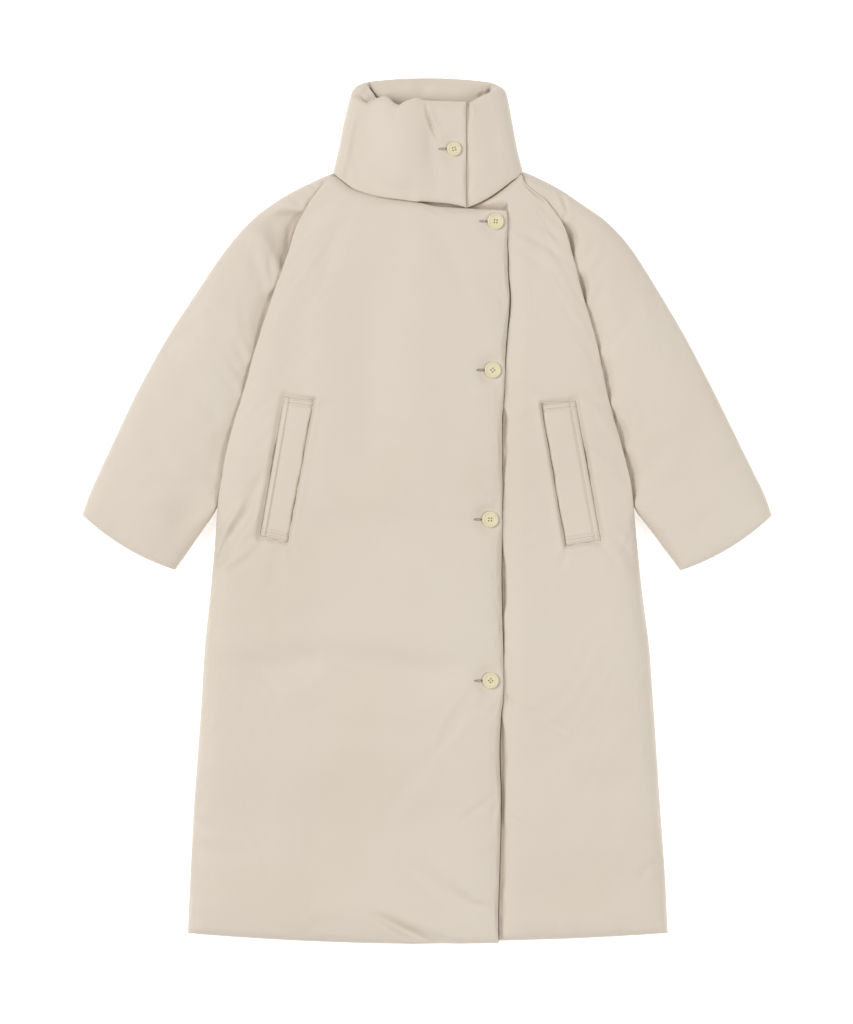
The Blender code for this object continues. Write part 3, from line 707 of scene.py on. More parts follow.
def lapped_wall(inset):
    return mix(LAP_RIM, LAPPED_WALL, np.clip((LAP - inset) / LAP_TAPER, 0.0, 1.0))


def make_front_right():
    heights = body_heights(0.004)
    shares = spaced(0.6, 0.004, 0.0014, 0.04)
    shares = refined(shares[shares < 0.62] / 0.62, *WELT_COLUMNS[RIGHT], 0.0062)
    # columns are closer together within 12 mm of the free edge
    insets = np.concatenate([np.linspace(LAP, 0.0132, 37), np.linspace(0.0120, 0.0, 11)])
    columns = between(lambda y: side_x(y, RIGHT), lambda y: edge_x(y) - LAP, shares[:-1])
    columns += inset_columns(insets)
    places = body_places(columns, heights, RIGHT_FRONT_NECK, HEM_BOW)
    x, y = places[..., 0], places[..., 1]
    inset = edge_x(heights)[:, None] - x
    climb = smooth_step(inset, LAP + 0.045, LAP)
    base = FRONT_BASE + np.where(inset <= LAP, lapped_wall(inset) + SEAM_GAP,
                                 climb * (LAP_RIM + SEAM_GAP))
    lapping = smooth_step(inset, LAP + 0.13, LAP - 0.09)
    start, end, hem, neck = distances(places)
    share = soft_min(side_share(start, heights), edge_share(end, FREE_EDGE),
                     edge_share(hem, HEM_EDGE), edge_share(neck, NECK_SEAM))
    plain = mix(FRONT_WALL * FULL_CROWN, LAPPING_WALL * LAPPING_CROWN, lapping) * share
    level = mix(FRONT_BASE, LAP_BASE, lapping)
    inner = stack(places, base)
    gathers = (y, start, seam_pull(heights), 31), (y, end, 0.7, 32), (x, hem, 0.8, 33)
    rise, _, moves = filled(places, level, plain, inner, (start, end, hem, neck), gathers,
                            FRONT_CREASES)
    top = settle_under(x, y, level + rise, FRONT_BUTTONS)
    top = settle_under_welts(x, y, top)
    outer = stack(places, np.maximum(top, base + THINNEST))
    outer[..., 0] -= lip(start, heights, 61)
    scallops = np.clip(wavering(y, 0.010, 34), 0.0, 1.0) * np.exp(-end / 0.004)
    outer[..., 0] -= SCALLOP_DEPTH * scallops
    outer[..., :2] += moves[..., :2]
    wall_piece("front_right", outer, inner)
    return outer


def make_front_left():
    heights = body_heights(0.004)
    insets = np.append(np.linspace(LAP - LAP_CLEARANCE, 0.0030, 26), 0.0)
    shares = spaced(0.5, 0.0045, 0.0014, 0.04)
    shares = refined((shares[shares >= 0.5] - 0.5) * 2, *WELT_COLUMNS[LEFT], 0.0080)
    # columns are closer together beside the free edge, where the gap is
    shares = np.concatenate([np.arange(0.0, 0.05, 0.0045), np.arange(0.055, 0.10, 0.0085),
                             shares[shares > 0.105]])
    columns = inset_columns(insets)
    columns += between(lambda y: edge_x(y) + LAP_CLEARANCE, lambda y: side_x(y, LEFT), shares)
    places = body_places(columns, heights, LEFT_FRONT_NECK, SHORT_HEM_BOW)
    inset = edge_x(heights)[:, None] - places[..., 0]
    free = body_places([edge_x], heights, RIGHT_FRONT_NECK, HEM_BOW)[:, 0]
    apart = np.interp(places[..., 1], free[:, 1], free[:, 0]) - edge_x(heights)[:, None]
    places[..., 0] += apart * smooth_step(-inset, 0.10, 0.0)
    x, y = places[..., 0], places[..., 1]
    _, end, hem, neck = distances(places)
    share = soft_min(side_share(end, heights), edge_share(hem, HEM_EDGE),
                     edge_share(neck, NECK_SEAM))
    inner = stack(places, FRONT_BASE)
    gathers = (y, end, seam_pull(heights), 41), (x, hem, 0.8, 43)
    full, creased, moves = filled(places, FRONT_BASE, FRONT_WALL * FULL_CROWN * share, inner,
                                  (end, hem, neck), gathers, FRONT_CREASES)
    gape = read_curve(EDGE_GAPE, heights) * (1 + 0.3 * wavering(heights, 0.021, 48))
    gape = np.clip(gape, 0.0, 1.0)[:, None]
    past = -inset - LAP_CLEARANCE
    # beside the free edge the swell stays below that edge
    met = np.minimum(FREE_LEVEL - 0.0003 - np.maximum(creased, 0.0), full)
    met = mix(met, full, smooth_step(past, 0.0, 0.030))
    uncovered = smooth_step(y - read_curve(RIGHT_FRONT_NECK, x), 0.001, 0.012)
    uncovered *= smooth_step(x, OVER_END + 0.003, OVER_END + 0.018)
    pressed = mix(np.minimum(lapped_wall(inset), full), met, uncovered)
    near = GAPE_SHELF * smooth_step(past, -0.0002, 0.0014 * gape - 0.0001)
    near += (1 - GAPE_SHELF) * smooth_step(past, 0.35 * GAPE_WIDTH * gape - 0.0002,
                                           GAPE_WIDTH * gape - 0.0001)
    deep = read_curve(EDGE_GAPE, heights, 2)[:, None]
    near = 1 - mix(1.0, deep, smooth_step(past, -0.0002, -0.0001)) * (1 - near)
    top = settle_under_welts(x, y, FRONT_BASE + mix(pressed, met, near))
    outer = stack(places, np.maximum(top, FRONT_BASE + THINNEST))
    outer[..., 0] += lip(end, heights, 64)
    outer[..., :2] += moves[..., :2] * smooth_step(-inset, 0.0, 0.020)[..., None]
    wall_piece("front_left", outer, inner)


# ---- welts

WELT_WALL = 0.0046
WELT_STITCH_INSET = 0.0082
WELT_END_ROWS = (0.0028, 0.0108)
MOUTH_GROOVE, ROW_GROOVE, GROOVE_DEPTH = 0.0016, 0.0011, 0.0022
THINNEST_WELT = 0.0009
WELT_EDGE = Edge(0.26, 0.005, 0.016, 0.8)
MOUTH_WELT_EDGE = Edge(0.16, 0.006, 0.020, 0.6)


def grid_point(points, u, v):
    """A point of a grid at shares of the way along its columns and its rows."""
    row, column = v * (points.shape[0] - 1), u * (points.shape[1] - 1)
    i, j = min(int(row), points.shape[0] - 2), min(int(column), points.shape[1] - 2)
    low = mix(points[i, j], points[i, j + 1], column - j)
    high = mix(points[i + 1, j], points[i + 1, j + 1], column - j)
    return mix(low, high, row - i)


def make_welt(name):
    outer_top, inner_top, inner_low, outer_low = (np.array(corner) for corner in WELTS[name])
    width, length = np.hypot(*(inner_top - outer_top)), np.hypot(*(outer_low - outer_top))
    us, vs = spaced(width, 0.0011, 0.0006, 0.004), spaced(length, 0.0014, 0.0006, 0.006)
    left = mix(outer_top, outer_low, vs[:, None])
    right = mix(inner_top, inner_low, vs[:, None])
    places = mix(left[:, None], right[:, None], us[None, :, None])
    mouth, seam, first, last = distances(places)
    seed = 71 if name == "welt_right" else 72
    share = soft_min(edge_share(mouth, MOUTH_WELT_EDGE), edge_share(seam, WELT_EDGE),
                     edge_share(first, WELT_EDGE), edge_share(last, WELT_EDGE))
    top = WELT_WALL * share
    top += 0.45 * (puckers(first, mouth, 0.8, seed) + puckers(first, seam, 1.0, seed + 3))
    top += 0.0004 * lumps(places[..., 0], places[..., 1], 0.021, seed)
    grooves = [bell(away - row, ROW_GROOVE) for row in WELT_END_ROWS for away in (first, last)]
    grooves = np.maximum.reduce([bell(mouth - WELT_STITCH_INSET, MOUTH_GROOVE), *grooves])
    top = np.maximum(top - GROOVE_DEPTH * grooves, THINNEST_WELT)
    wander = 0.0006 * np.sin(first / 0.017 + seed) + 0.0004 * np.sin(first / 0.0071)
    places[..., 0] += wander * np.exp(-seam / 0.006)
    outer = stack(places, WELT_BASE + top)
    piece = wall_piece(name, outer, stack(places, WELT_BASE))
    u, v = WELT_STITCH_INSET / width, WELT_END_ROWS[0] / length
    rows = [(u, v, u, 1 - v)]
    for row in WELT_END_ROWS:
        rows += [(0.03, v, 0.97, v) for v in (row / length, 1 - row / length)]
    stitches = []
    for u1, v1, u2, v2 in rows:
        count = round(math.hypot((u2 - u1) * width, (v2 - v1) * length) / STITCH_PITCH)
        ends = [Vector(grid_point(outer, mix(u1, u2, share), mix(v1, v2, share))) + STITCH_LIFT
                for share in ((index + end) / count
                              for index in range(count) for end in STITCH_ENDS)]
        stitches += zip(ends[::2], ends[1::2])
    thread_piece(f"{name}_stitching", stitches, STITCH_THREAD, THREAD)


# ---- thread

STITCH_PITCH = 0.0034
STITCH_THREAD = 0.00026
STITCH_LIFT = Vector((0, 0, 0.00012))
STITCH_ENDS = (0.12, 0.88)
RING_SIDES = 6


def bridge(work, rings, closed_rings=False):
    """Faces between rings of vertices that follow each other, and on to the first one if told."""
    sides = len(rings[0])
    for index in range(len(rings) - (not closed_rings)):
        low, high = rings[index], rings[(index + 1) % len(rings)]
        for side in range(sides):
            after = (side + 1) % sides
            work.faces.new((low[side], low[after], high[after], high[side]))


def add_capsule(work, start, end, radius):
    """A closed rod with blunt ends, for one stitch."""
    along = (end - start).normalized()
    aside = along.orthogonal().normalized()
    across = along.cross(aside)
    turns = [math.tau * side / RING_SIDES for side in range(RING_SIDES)]
    rings = []
    for share, size in ((0.0, 0.45), (0.12, 1.0), (0.88, 1.0), (1.0, 0.45)):
        centre = start.lerp(end, share)
        rings.append([work.verts.new(centre + radius * size * (
            aside * math.cos(turn) + across * math.sin(turn))) for turn in turns])
    bridge(work, rings)
    work.faces.new(rings[0][::-1])
    work.faces.new(rings[-1])


def link_mesh(name, work, finish):
    bmesh.ops.recalc_face_normals(work, faces=work.faces)
    mesh = bpy.data.meshes.new(name)
    work.to_mesh(mesh)
    work.free()
    return add_piece(name, mesh, finish)


def thread_piece(name, stitches, radius, finish):
    work = bmesh.new()
    for start, end in stitches:
        add_capsule(work, start, end, radius)
    link_mesh(name, work, finish)


# ---- sleeves

SLEEVE_CREASES = {
    RIGHT: (
        (-246, 387, -225, 313, -4, 5, -2.2), (-236, 366, -224, 320, -3, 4, 1.8),
        (-258, 372, -240, 310, -4, 7, 1.6), (-270, 250, -256, 216, -2, 4, -2.0),
        (-290, 222, -269, 190, -3, 6, 2.4), (-284, 250, -262, 205, -3, 5, 1.6),
        (-300, 200, -276, 168, -3, 6, 1.4), (-300, 120, -330, 170, 5, 12, 1.4),
        (-306, 20, -380, 120, 12, 14, 1.8), (-160, 464, -172, 475, 1, 2.5, 1.8),
        (-180, 440, -200, 452, 2, 5, 1.4), (-340, 40, -420, 20, 8, 14, 1.4),
        (-380, -40, -440, 10, 6, 12, 1.3), (-400, 150, -370, 60, 8, 18, 1.2),
        (-326, 50, -366, -90, 0, 32, 8.0),
    ),
    LEFT: (
        (190, 465, 204, 429, -2, 3.5, 2.6), (204, 430, 195, 412, 2, 4, 2.4),
        (226, 350, 246, 386, -3, 6, 1.6), (240, 330, 262, 372, -3, 7, 1.2),
        (232, 296, 250, 330, -2, 5, -1.4), (262, 216, 282, 262, -3, 7, 1.6),
        (290, 150, 300, 118, -2, 5, 1.8), (300, 170, 318, 130, -2, 7, 1.2),
        (306, 20, 380, 120, -12, 14, 1.8), (340, 40, 420, 20, -8, 14, 1.4),
        (380, -40, 440, 10, -6, 12, 1.3), (400, 150, 370, 60, -8, 18, 1.2),
    ),
}

# Dents of a sleeve beside its raglan seam, in millimetres: the height where each ends below and
# above, its reach out from the seam and its depth
SLEEVE_DENTS = {
    RIGHT: (
        (346, 432, 46, 14.0), (301, 322, 7, 3.0), (226, 318, 20, 5.5), (168, 212, 15, 4.0),
        (95, 165, 16, 2.0), (0, 120, 26, 4.5),
    ),
    LEFT: (
        (362, 418, 13, 10.0), (296, 345, 12, 8.0), (224, 300, 15, 4.0), (150, 226, 14, 5.5),
        (127, 152, 7, 3.5), (78, 138, 13, 6.0), (8, 90, 14, 8.0),
    ),
}


def dent_depth(inward, heights, dents):
    """How far the dents lower a sleeve. Each has a sharp lower end and fades upwards."""
    total = np.zeros_like(inward)
    for dent in dents:
        low, high, reach, depth = (value / 1000 for value in dent)
        t = np.clip((heights - low) / (high - low), 0.0, 1.0)
        shape = np.sin(math.pi * t ** 1.2) ** 0.8
        width = np.maximum(reach * shape, 1e-5)[:, None]
        total += depth * (shape ** 0.6)[:, None] * np.exp(-(inward / width) ** 2.6)
    return total


def sleeve_places(side, pitch):
    """Grid of places down a sleeve, each row from the armhole or inner seam to the outer seam."""
    away, first = (-1, 1) if side == RIGHT else (1, 3)
    level = SLEEVE_SECTIONS[:, 0]
    inner = np.column_stack([side_x(level, side) + away * ARMHOLE_GAP, level])
    inner[-2:] = BELOW_ARMPIT[side]
    stations = np.linspace(0, 1, len(SLEEVE_SECTIONS))
    down = spaced(0.6, pitch, 0.0022, 0.03)
    ends = []
    for edge in (inner, SLEEVE_SECTIONS[:, first:first + 2]):
        table = np.column_stack([stations, edge])
        ends.append(np.column_stack([read_curve(table, down, 1), read_curve(table, down, 2)]))
    follow = down <= stations[-3]
    ends[0][follow, 0] = side_x(ends[0][follow, 1], side) + away * ARMHOLE_GAP
    shares = spaced(0.18, pitch, 0.0022, 0.03)
    places = mix(ends[0][:, None], ends[1][:, None], shares[None, :, None])
    cuff = smooth_step(down, 0.93, 1.0)[:, None] * CUFF_BOW * 4 * shares * (1 - shares)
    places[..., 1] -= cuff
    places[..., 0] += away * cuff * 0.5
    return places


def make_sleeve(side, name):
    """Both halves of a sleeve, which share one swell."""
    places = sleeve_places(side, 0.0036)
    heights = places[:, 0, 1]
    start, end, neck, cuff = distances(places)
    below = smooth_step(-places[..., 1], -ARMPIT_HEIGHT - 0.01, -ARMPIT_HEIGHT + 0.04)
    inner_share = mix(edge_share(start, RAGLAN_SLEEVE), 1.0, raglan_fade(heights))
    inner_share = mix(inner_share, edge_share(start, SEAM), below)
    share = soft_min(inner_share, edge_share(end, SEAM), edge_share(neck, NECK_SEAM),
                     edge_share(cuff, HEM_EDGE))
    seed = 50 + 10 * side
    plain = SLEEVE_WALL * FULL_CROWN * share
    inner = stack(places, FRONT_BASE)
    gathers = ((neck, start, 0.6, seed), (neck, end, 0.9, seed + 1),
               (start, cuff, 0.8, seed + 2))
    rise, _, moves = filled(places, FRONT_BASE, plain, inner, (start, end, neck, cuff), gathers,
                            SLEEVE_CREASES[side], strength=0.9, least=0.3)
    rise -= dent_depth(start, heights, SLEEVE_DENTS[side])
    front = stack(places, FRONT_BASE + np.maximum(rise, THINNEST))
    under = plain + moves[..., 2] + puckers(neck, end, 0.9, seed + 3)
    under = np.maximum(under, THINNEST)
    back = stack(places, np.maximum(BACK_TOP - under, 0.0))
    for half, outer, inside in (("front", front, inner), ("back", back, stack(places, BACK_TOP))):
        outer[..., :2] += moves[..., :2]
        wall_piece(f"{name}_{half}", outer, inside)


# ---- collar

# Sides of the collar from the neck seam up: share of its height, right side, left side
COLLAR_SIDES = np.array((
    (0.00, -0.1368, 0.1375), (0.25, -0.1285, 0.1285),
    (0.52, -0.1215, 0.1222), (0.70, -0.1162, 0.1178),
    (0.86, -0.1105, 0.1138), (0.93, -0.1065, 0.1108),
    (0.97, -0.1005, 0.1060), (1.00, -0.0915, 0.1000),
))
UNDER_END = -0.030
BESIDE_OVER_END = OVER_END + 0.0003      # where the under end comes out beside the over end
COLLAR_SLIT, COLLAR_SEAM_GAP, COLLAR_LAP_GAP = 0.0015, 0.0006, 0.0015
COLLAR_TOP, COLLAR_TOP_BOW = 0.627, 0.009
COLLAR_TAPER = 0.040
NOTCH_START, NOTCH_GAP = -0.013, 0.0045
COLLAR_CROWN = 1.22

# Upper edges of the two ends: place across, height
OVER_MOUTH = np.array((
    (-0.0990, 0.6165), (-0.0896, 0.6190), (-0.0835, 0.6120), (-0.0778, 0.6045), (-0.0725, 0.5978),
    (-0.0665, 0.5997), (-0.0560, 0.5980), (-0.0470, 0.5905), (-0.0398, 0.5874), (-0.0370, 0.5895),
    (-0.0280, 0.5935), (-0.0154, 0.5970), (-0.0027, 0.5938), (0.0580, 0.5920),
))
UNDER_MOUTH = np.array((
    (-0.0330, 0.5880), (0.0580, 0.5900), (0.0660, 0.5935), (0.0771, 0.5996), (0.0878, 0.6041),
    (0.0974, 0.6103), (0.1000, 0.6150), (0.1060, 0.6180),
))

COLLAR_CREASES = (
    (-2, 591, 17, 535, 3, 2.6, 3.6), (6, 586, 22, 542, 3, 5.0, -1.2),
    (-32, 590, -36, 464, 2, 36, -8.0), (6, 585, 8, 490, 0, 12, 2.4),
    (-58, 597, -38, 584, -2, 3.0, 3.4), (84, 606, 96, 612, 0, 2.0, 3.0),
    (92, 614, 99, 606, 0, 1.8, 2.6), (121, 523, 131, 502, -2, 6, 2.8),
    (116, 532, 127, 517, 0, 4, 1.8), (60, 592, 59, 562, 0, 4, 2.6),
    (61, 505, 59, 460, 0, 5, 2.4), (-60, 470, 10, 455, 6, 9, 1.1),
    (-126, 505, -112, 480, 0, 6, 1.8),
)

# The hollow in the collar's right corner: the two soft folds below it, each from its right end,
# and the mouth's edge on its left
HOLLOW_FOLDS = (((-0.112, 0.603), (-0.0865, 0.5885)), ((-0.0865, 0.5885), (-0.0735, 0.5970)))
HOLLOW_EDGE = ((-0.0725, 0.5978), (-0.0896, 0.6190))
HOLLOW_DEPTH = 0.0170

# Grooves of the collar's inner back, beside the mouth's edge
INNER_CREASES = (
    (-72, 596, -86, 615, 0, 1.6, 8.0), (-60, 601, -42, 592, 0, 5.0, 3.0),
    (87, 603, 91, 612, 0, 1.5, 6.0), (94, 606, 97, 615, 0, 1.4, 5.0),
    (74, 600, 86, 605, 0, 3.0, 4.0), (-8, 628, -2, 600, 0, 11.0, 2.2),
)

COLLAR_EDGE = Edge(0.72, 0.010, 0.045, 0.8)
MOUTH_EDGE = Edge(0.40, 0.012, 0.050, 1.0)
END_EDGE = Edge(0.80, 0.007, 0.050, 1.0)
BESIDE_EDGE = Edge(0.97, 0.012, 0.040, 0.0)
COLLAR_LIP = 0.0030
SHOWN_UNDER_WALL = 0.0212

# A stretch of the collar's way round: the fold or end where it starts and stops, the angles that
# its outer face looks in there, and its columns
Stretch = namedtuple("Stretch", "start end first_angle last_angle columns")
STRETCHES = (
    Stretch("over", "right", 90, 90, 84),
    Stretch("right", "right", 90, 270, 16),
    Stretch("right", "left", 270, 270, 70),
    Stretch("left", "left", 270, 450, 16),
    Stretch("left", "beside", 450, 450, 44),
    Stretch("beside", "under", 450, 450, 24),
)
COLLAR_MIDDLE = FRONT_BASE - SEAM_GAP / 2
COLLAR_BACK_WALL = COLLAR_MIDDLE - COLLAR_SLIT
THINNEST_TURN, THINNEST_COLLAR = 0.0015, 0.0012
STEEP_SHARE = 0.003      # the first share of the last stretch, down which the under end drops


def under_wall(x):
    """Thickness of the collar's under end, which thins towards its hidden edge."""
    along = np.clip((x - UNDER_END) / COLLAR_TAPER, 0.0, 1.0)
    return mix(LAP_RIM, LAPPED_WALL - COLLAR_SLIT - SEAM_GAP, along)


def over_base(x):
    """Underside of the over end above the front's level, where it climbs onto the under end."""
    climb = smooth_step(x, UNDER_END - 0.030, UNDER_END - 0.004)
    return COLLAR_SLIT + climb * (under_wall(x) + COLLAR_LAP_GAP)


def over_level(x):
    """Level of the over end's swell above the front's, where it climbs onto the under end."""
    climb = smooth_step(x, -0.108, -0.005)
    return COLLAR_SLIT + climb * (LAPPED_WALL + COLLAR_LAP_GAP - COLLAR_SLIT - SEAM_GAP)


def over_neck(x):
    """Lower edge of the collar in front, which leaves the neckline at the notch."""
    along = np.clip((x - NOTCH_START) / (OVER_END - NOTCH_START), 0.0, 1.0)
    return read_curve(RIGHT_FRONT_NECK, x) + NOTCH_GAP * np.sin(math.pi * along) ** 0.8


def back_mouth(x):
    return COLLAR_TOP - COLLAR_TOP_BOW * (x / 0.112) ** 2


def place_across(stretch, share, folds, level, wall):
    """Where a column of the collar is across, for the thickness of the wall at the folds."""
    ends = {"over": OVER_END, "under": UNDER_END, "beside": BESIDE_OVER_END,
            "right": folds[0][level] + COLLAR_SLIT + wall,
            "left": folds[1][level] - COLLAR_SLIT - wall}
    return mix(ends[stretch.start], ends[stretch.end], share) + 0.0 * wall


def corner_hollow(x, y):
    """Depth of the hollow in the right corner, above its folds and beside the mouth's edge."""
    above = np.minimum.reduce([aside_of(x, y, fold) for fold in HOLLOW_FOLDS])
    from_edge = aside_of(x, y, HOLLOW_EDGE)
    slope = smooth_step(above, -0.001, 0.0035) * (1 - 0.25 * np.clip(above / 0.019, 0, 1))
    lean = 0.75 + 0.25 * np.exp(-np.maximum(from_edge, 0.0) / 0.012)
    return HOLLOW_DEPTH * slope * lean * smooth_step(from_edge, -0.0015, 0.0)


def collar_shares(stretch):
    shares = np.linspace(0, 1, stretch.columns + 1)
    if stretch.start == "over":
        return refined(shares, 0.18, 0.36, 0.0055)
    if stretch.end == "beside":
        return 1 - (1 - shares[1:]) ** 1.6
    if stretch.end == "left":
        return refined(shares, 0.004, 0.12, 0.0055)
    if stretch.start == "beside":
        return np.concatenate([[STEEP_SHARE], shares[1:]])
    return shares[1:]


def collar_edges(stretch, low_x, high_x, look_z):
    """Lower and upper end of a column of the collar."""
    right = stretch.start in ("over", "right")
    neck = BACK_NECK if look_z < -0.01 else LEFT_FRONT_NECK
    low = over_neck(low_x) if right and look_z > -0.01 else read_curve(neck, low_x)
    mouth = read_curve(OVER_MOUTH if right else UNDER_MOUTH, high_x)
    behind = mix(0.5, 0.0, look_z) if abs(look_z) < 0.999 else float(look_z < 0)
    return low, mix(mouth, back_mouth(high_x), behind)


def turned_wall(stretch, share, look_x, look_z, x, y, shape):
    """Faces of the collar where it turns at a fold: x and z of its outer face, then its inner."""
    right = stretch.start == "right"
    inner_x, inner_z = x + COLLAR_SLIT * look_x, COLLAR_MIDDLE + COLLAR_SLIT * look_z
    front = COLLAR_WALL if right else SHOWN_UNDER_WALL
    wall = mix(front, COLLAR_BACK_WALL, share if right else 1 - share) * shape
    if look_z > 0:
        wall = wall - corner_hollow(inner_x + wall * look_x, y) * look_z ** 2
        wall = np.maximum(wall, THINNEST_TURN)
    return inner_x + wall * look_x, inner_z + wall * look_z, inner_x, inner_z


def front_wall(stretch, x, y, shape, from_neck, from_mouth, crown):
    """Levels of the collar's faces in front: its outer face, then its inner one."""
    if stretch.start == "over":
        inner_z = FRONT_BASE + over_base(x)
        full = soft_min(shape, edge_share(OVER_END - x, END_EDGE))
        top = FRONT_BASE + over_level(x) + COLLAR_WALL * crown * full
    elif stretch.end == "beside":
        inner_z = FRONT_BASE + COLLAR_SLIT
        beside = edge_share(np.maximum(x - BESIDE_OVER_END, 0.0), BESIDE_EDGE)
        top = inner_z + SHOWN_UNDER_WALL * crown * soft_min(shape, beside)
    else:
        inner_z = FRONT_BASE + COLLAR_SLIT
        hidden = under_wall(x) * np.minimum(shape, edge_share(x - UNDER_END, END_EDGE))
        return inner_z + np.maximum(hidden, THINNEST_COLLAR), inner_z
    over = stretch.start == "over"
    softness = puckers(x, from_neck, 0.5, 81 + over) + puckers(x, from_mouth, 0.6, 83 + over)
    softness += 0.0010 * lumps(x, y, 0.045, 85) + 0.0005 * lumps(x, y, 0.021, 86)
    if over:
        softness += puckers(y, OVER_END - x, 0.4, 88) - corner_hollow(x, y)
    softness -= crease_depth(x, y, COLLAR_CREASES)
    top = top + softness * thin_share(top - inner_z, 0.3)
    return np.maximum(top, inner_z + THINNEST_COLLAR), inner_z


def back_wall(x, y, shape, from_mouth):
    """Levels of the collar's faces behind: its outer face, then its inner one."""
    sunk = 0.0025 * smooth_step(from_mouth, 0.0, 0.014)
    inner_z = COLLAR_BACK_WALL - sunk - crease_depth(x, y, INNER_CREASES)
    return COLLAR_BACK_WALL * (1 - COLLAR_CROWN * shape), inner_z


def collar_column(stretch, share, levels, folds):
    """Points of one column of the collar from the neck seam up: outer ones, then inner ones."""
    angle = math.radians(mix(stretch.first_angle, stretch.last_angle, share))
    look_x, look_z = math.cos(angle), math.sin(angle)
    ends = []
    for level, edge in ((0, COLLAR_EDGE), (-1, MOUTH_EDGE)):
        wall = COLLAR_WALL * edge.rim
        x = place_across(stretch, share, folds, level, wall)
        ends.append(x + look_x * (COLLAR_SLIT + wall))
    low_y, high_y = collar_edges(stretch, *ends, look_z)
    y = mix(low_y + COLLAR_SEAM_GAP, high_y, levels)
    from_neck, from_mouth = levels * (high_y - low_y), (1 - levels) * (high_y - low_y)
    shape = soft_min(edge_share(from_neck, COLLAR_EDGE), edge_share(from_mouth, MOUTH_EDGE))
    wall = COLLAR_WALL * shape
    x = outer_x = inner_x = place_across(stretch, share, folds, slice(None), wall)
    over = stretch.start == "over"
    if stretch.first_angle != stretch.last_angle:
        outer_x, outer_z, inner_x, inner_z = turned_wall(stretch, share, look_x, look_z, x, y,
                                                         shape)
    elif stretch.first_angle == 270:
        outer_z, inner_z = back_wall(x, y, shape, from_mouth)
    else:
        fold = STRETCHES[1 if over else 3]
        from_fold = np.abs(x - place_across(fold, 0.0, folds, slice(None), wall))
        crown = mix(1.0, COLLAR_CROWN, smooth_step(from_fold, 0.0, 0.035))
        outer_z, inner_z = front_wall(stretch, x, y, shape, from_neck, from_mouth, crown)
    free = over * smooth_step(x[0], NOTCH_START - 0.006, NOTCH_START + 0.006)
    lowered = y - COLLAR_LIP * (1 - free) * (look_z > -0.5) * bulge(from_neck, LIP_REACH)
    return [np.stack(np.broadcast_arrays(*column), axis=1)
            for column in ((outer_x, lowered, outer_z), (inner_x, y, inner_z))]


def make_collar():
    """One padded strip that folds flat round the neck and laps right over left."""
    levels = spaced(0.14, 0.0026, 0.0012, 0.02)
    folds = [read_curve(COLLAR_SIDES, levels, side) for side in (RIGHT, LEFT)]
    columns = [collar_column(stretch, share, levels, folds)
               for stretch in STRETCHES for share in collar_shares(stretch)]
    outer, inner = (np.stack(side, axis=1) for side in zip(*columns))
    over_end = slice(0, len(collar_shares(STRETCHES[0])))
    shown, under = outer[:, over_end], inner[:, over_end]
    start, _, low, high = distances(shown)
    shown += swelling(shown, under, start, low, high)
    settled = settle_under(*np.moveaxis(shown, -1, 0), ("button_collar",))
    shown[..., 2] = np.maximum(settled, under[..., 2] + THINNEST_COLLAR)
    outer[..., 2] = np.maximum(outer[..., 2], 0.0)
    wall_piece("collar", outer, inner)
    return shown


# ---- buttons

BUTTON_STEPS, HOLE_STEPS = 64, 16
BUTTON_DISH, BUTTON_RIM = 0.0012, 0.0026
DISH_ROUND, TOP_ROUND, BASE_ROUND = 0.0017, 0.0014, 0.0009
HOLE_RADIUS, HOLE_REACH = 0.00105, 0.0019
HOLE_TURN = 0.07         # keeps the holes' edges off the edges between the turned faces
HOLE_CENTRES = [(HOLE_REACH * x, HOLE_REACH * y) for x, y in ((1, 1), (-1, 1), (-1, -1), (1, -1))]
BUTTON_THREAD_RADIUS = 0.00034
SLIVER = 0.00001


def arc(steps, first=0):
    """Sines and cosines of a quarter turn in steps."""
    turns = [math.pi / 2 * step / steps for step in range(first, steps + 1)]
    return [(math.sin(turn), math.cos(turn)) for turn in turns]


def button_profile(radius, top):
    """Half section of a button, from its middle on top, round its rim, to its middle below."""
    dish, flat = top - BUTTON_DISH, radius - BUTTON_RIM - DISH_ROUND
    section = [(0.0, dish), (flat, dish)]
    section += [(flat + DISH_ROUND * sine, dish + BUTTON_DISH * (1 - cosine) * 0.92)
                for sine, cosine in arc(6, 1)]
    section += [(radius + TOP_ROUND * (sine - 1), top + TOP_ROUND * (cosine - 1))
                for sine, cosine in arc(8)]
    section += [(radius + BASE_ROUND * (cosine - 1), BASE_ROUND * (1 - sine))
                for sine, cosine in arc(5)]
    return section + [(0.0, 0.0)]


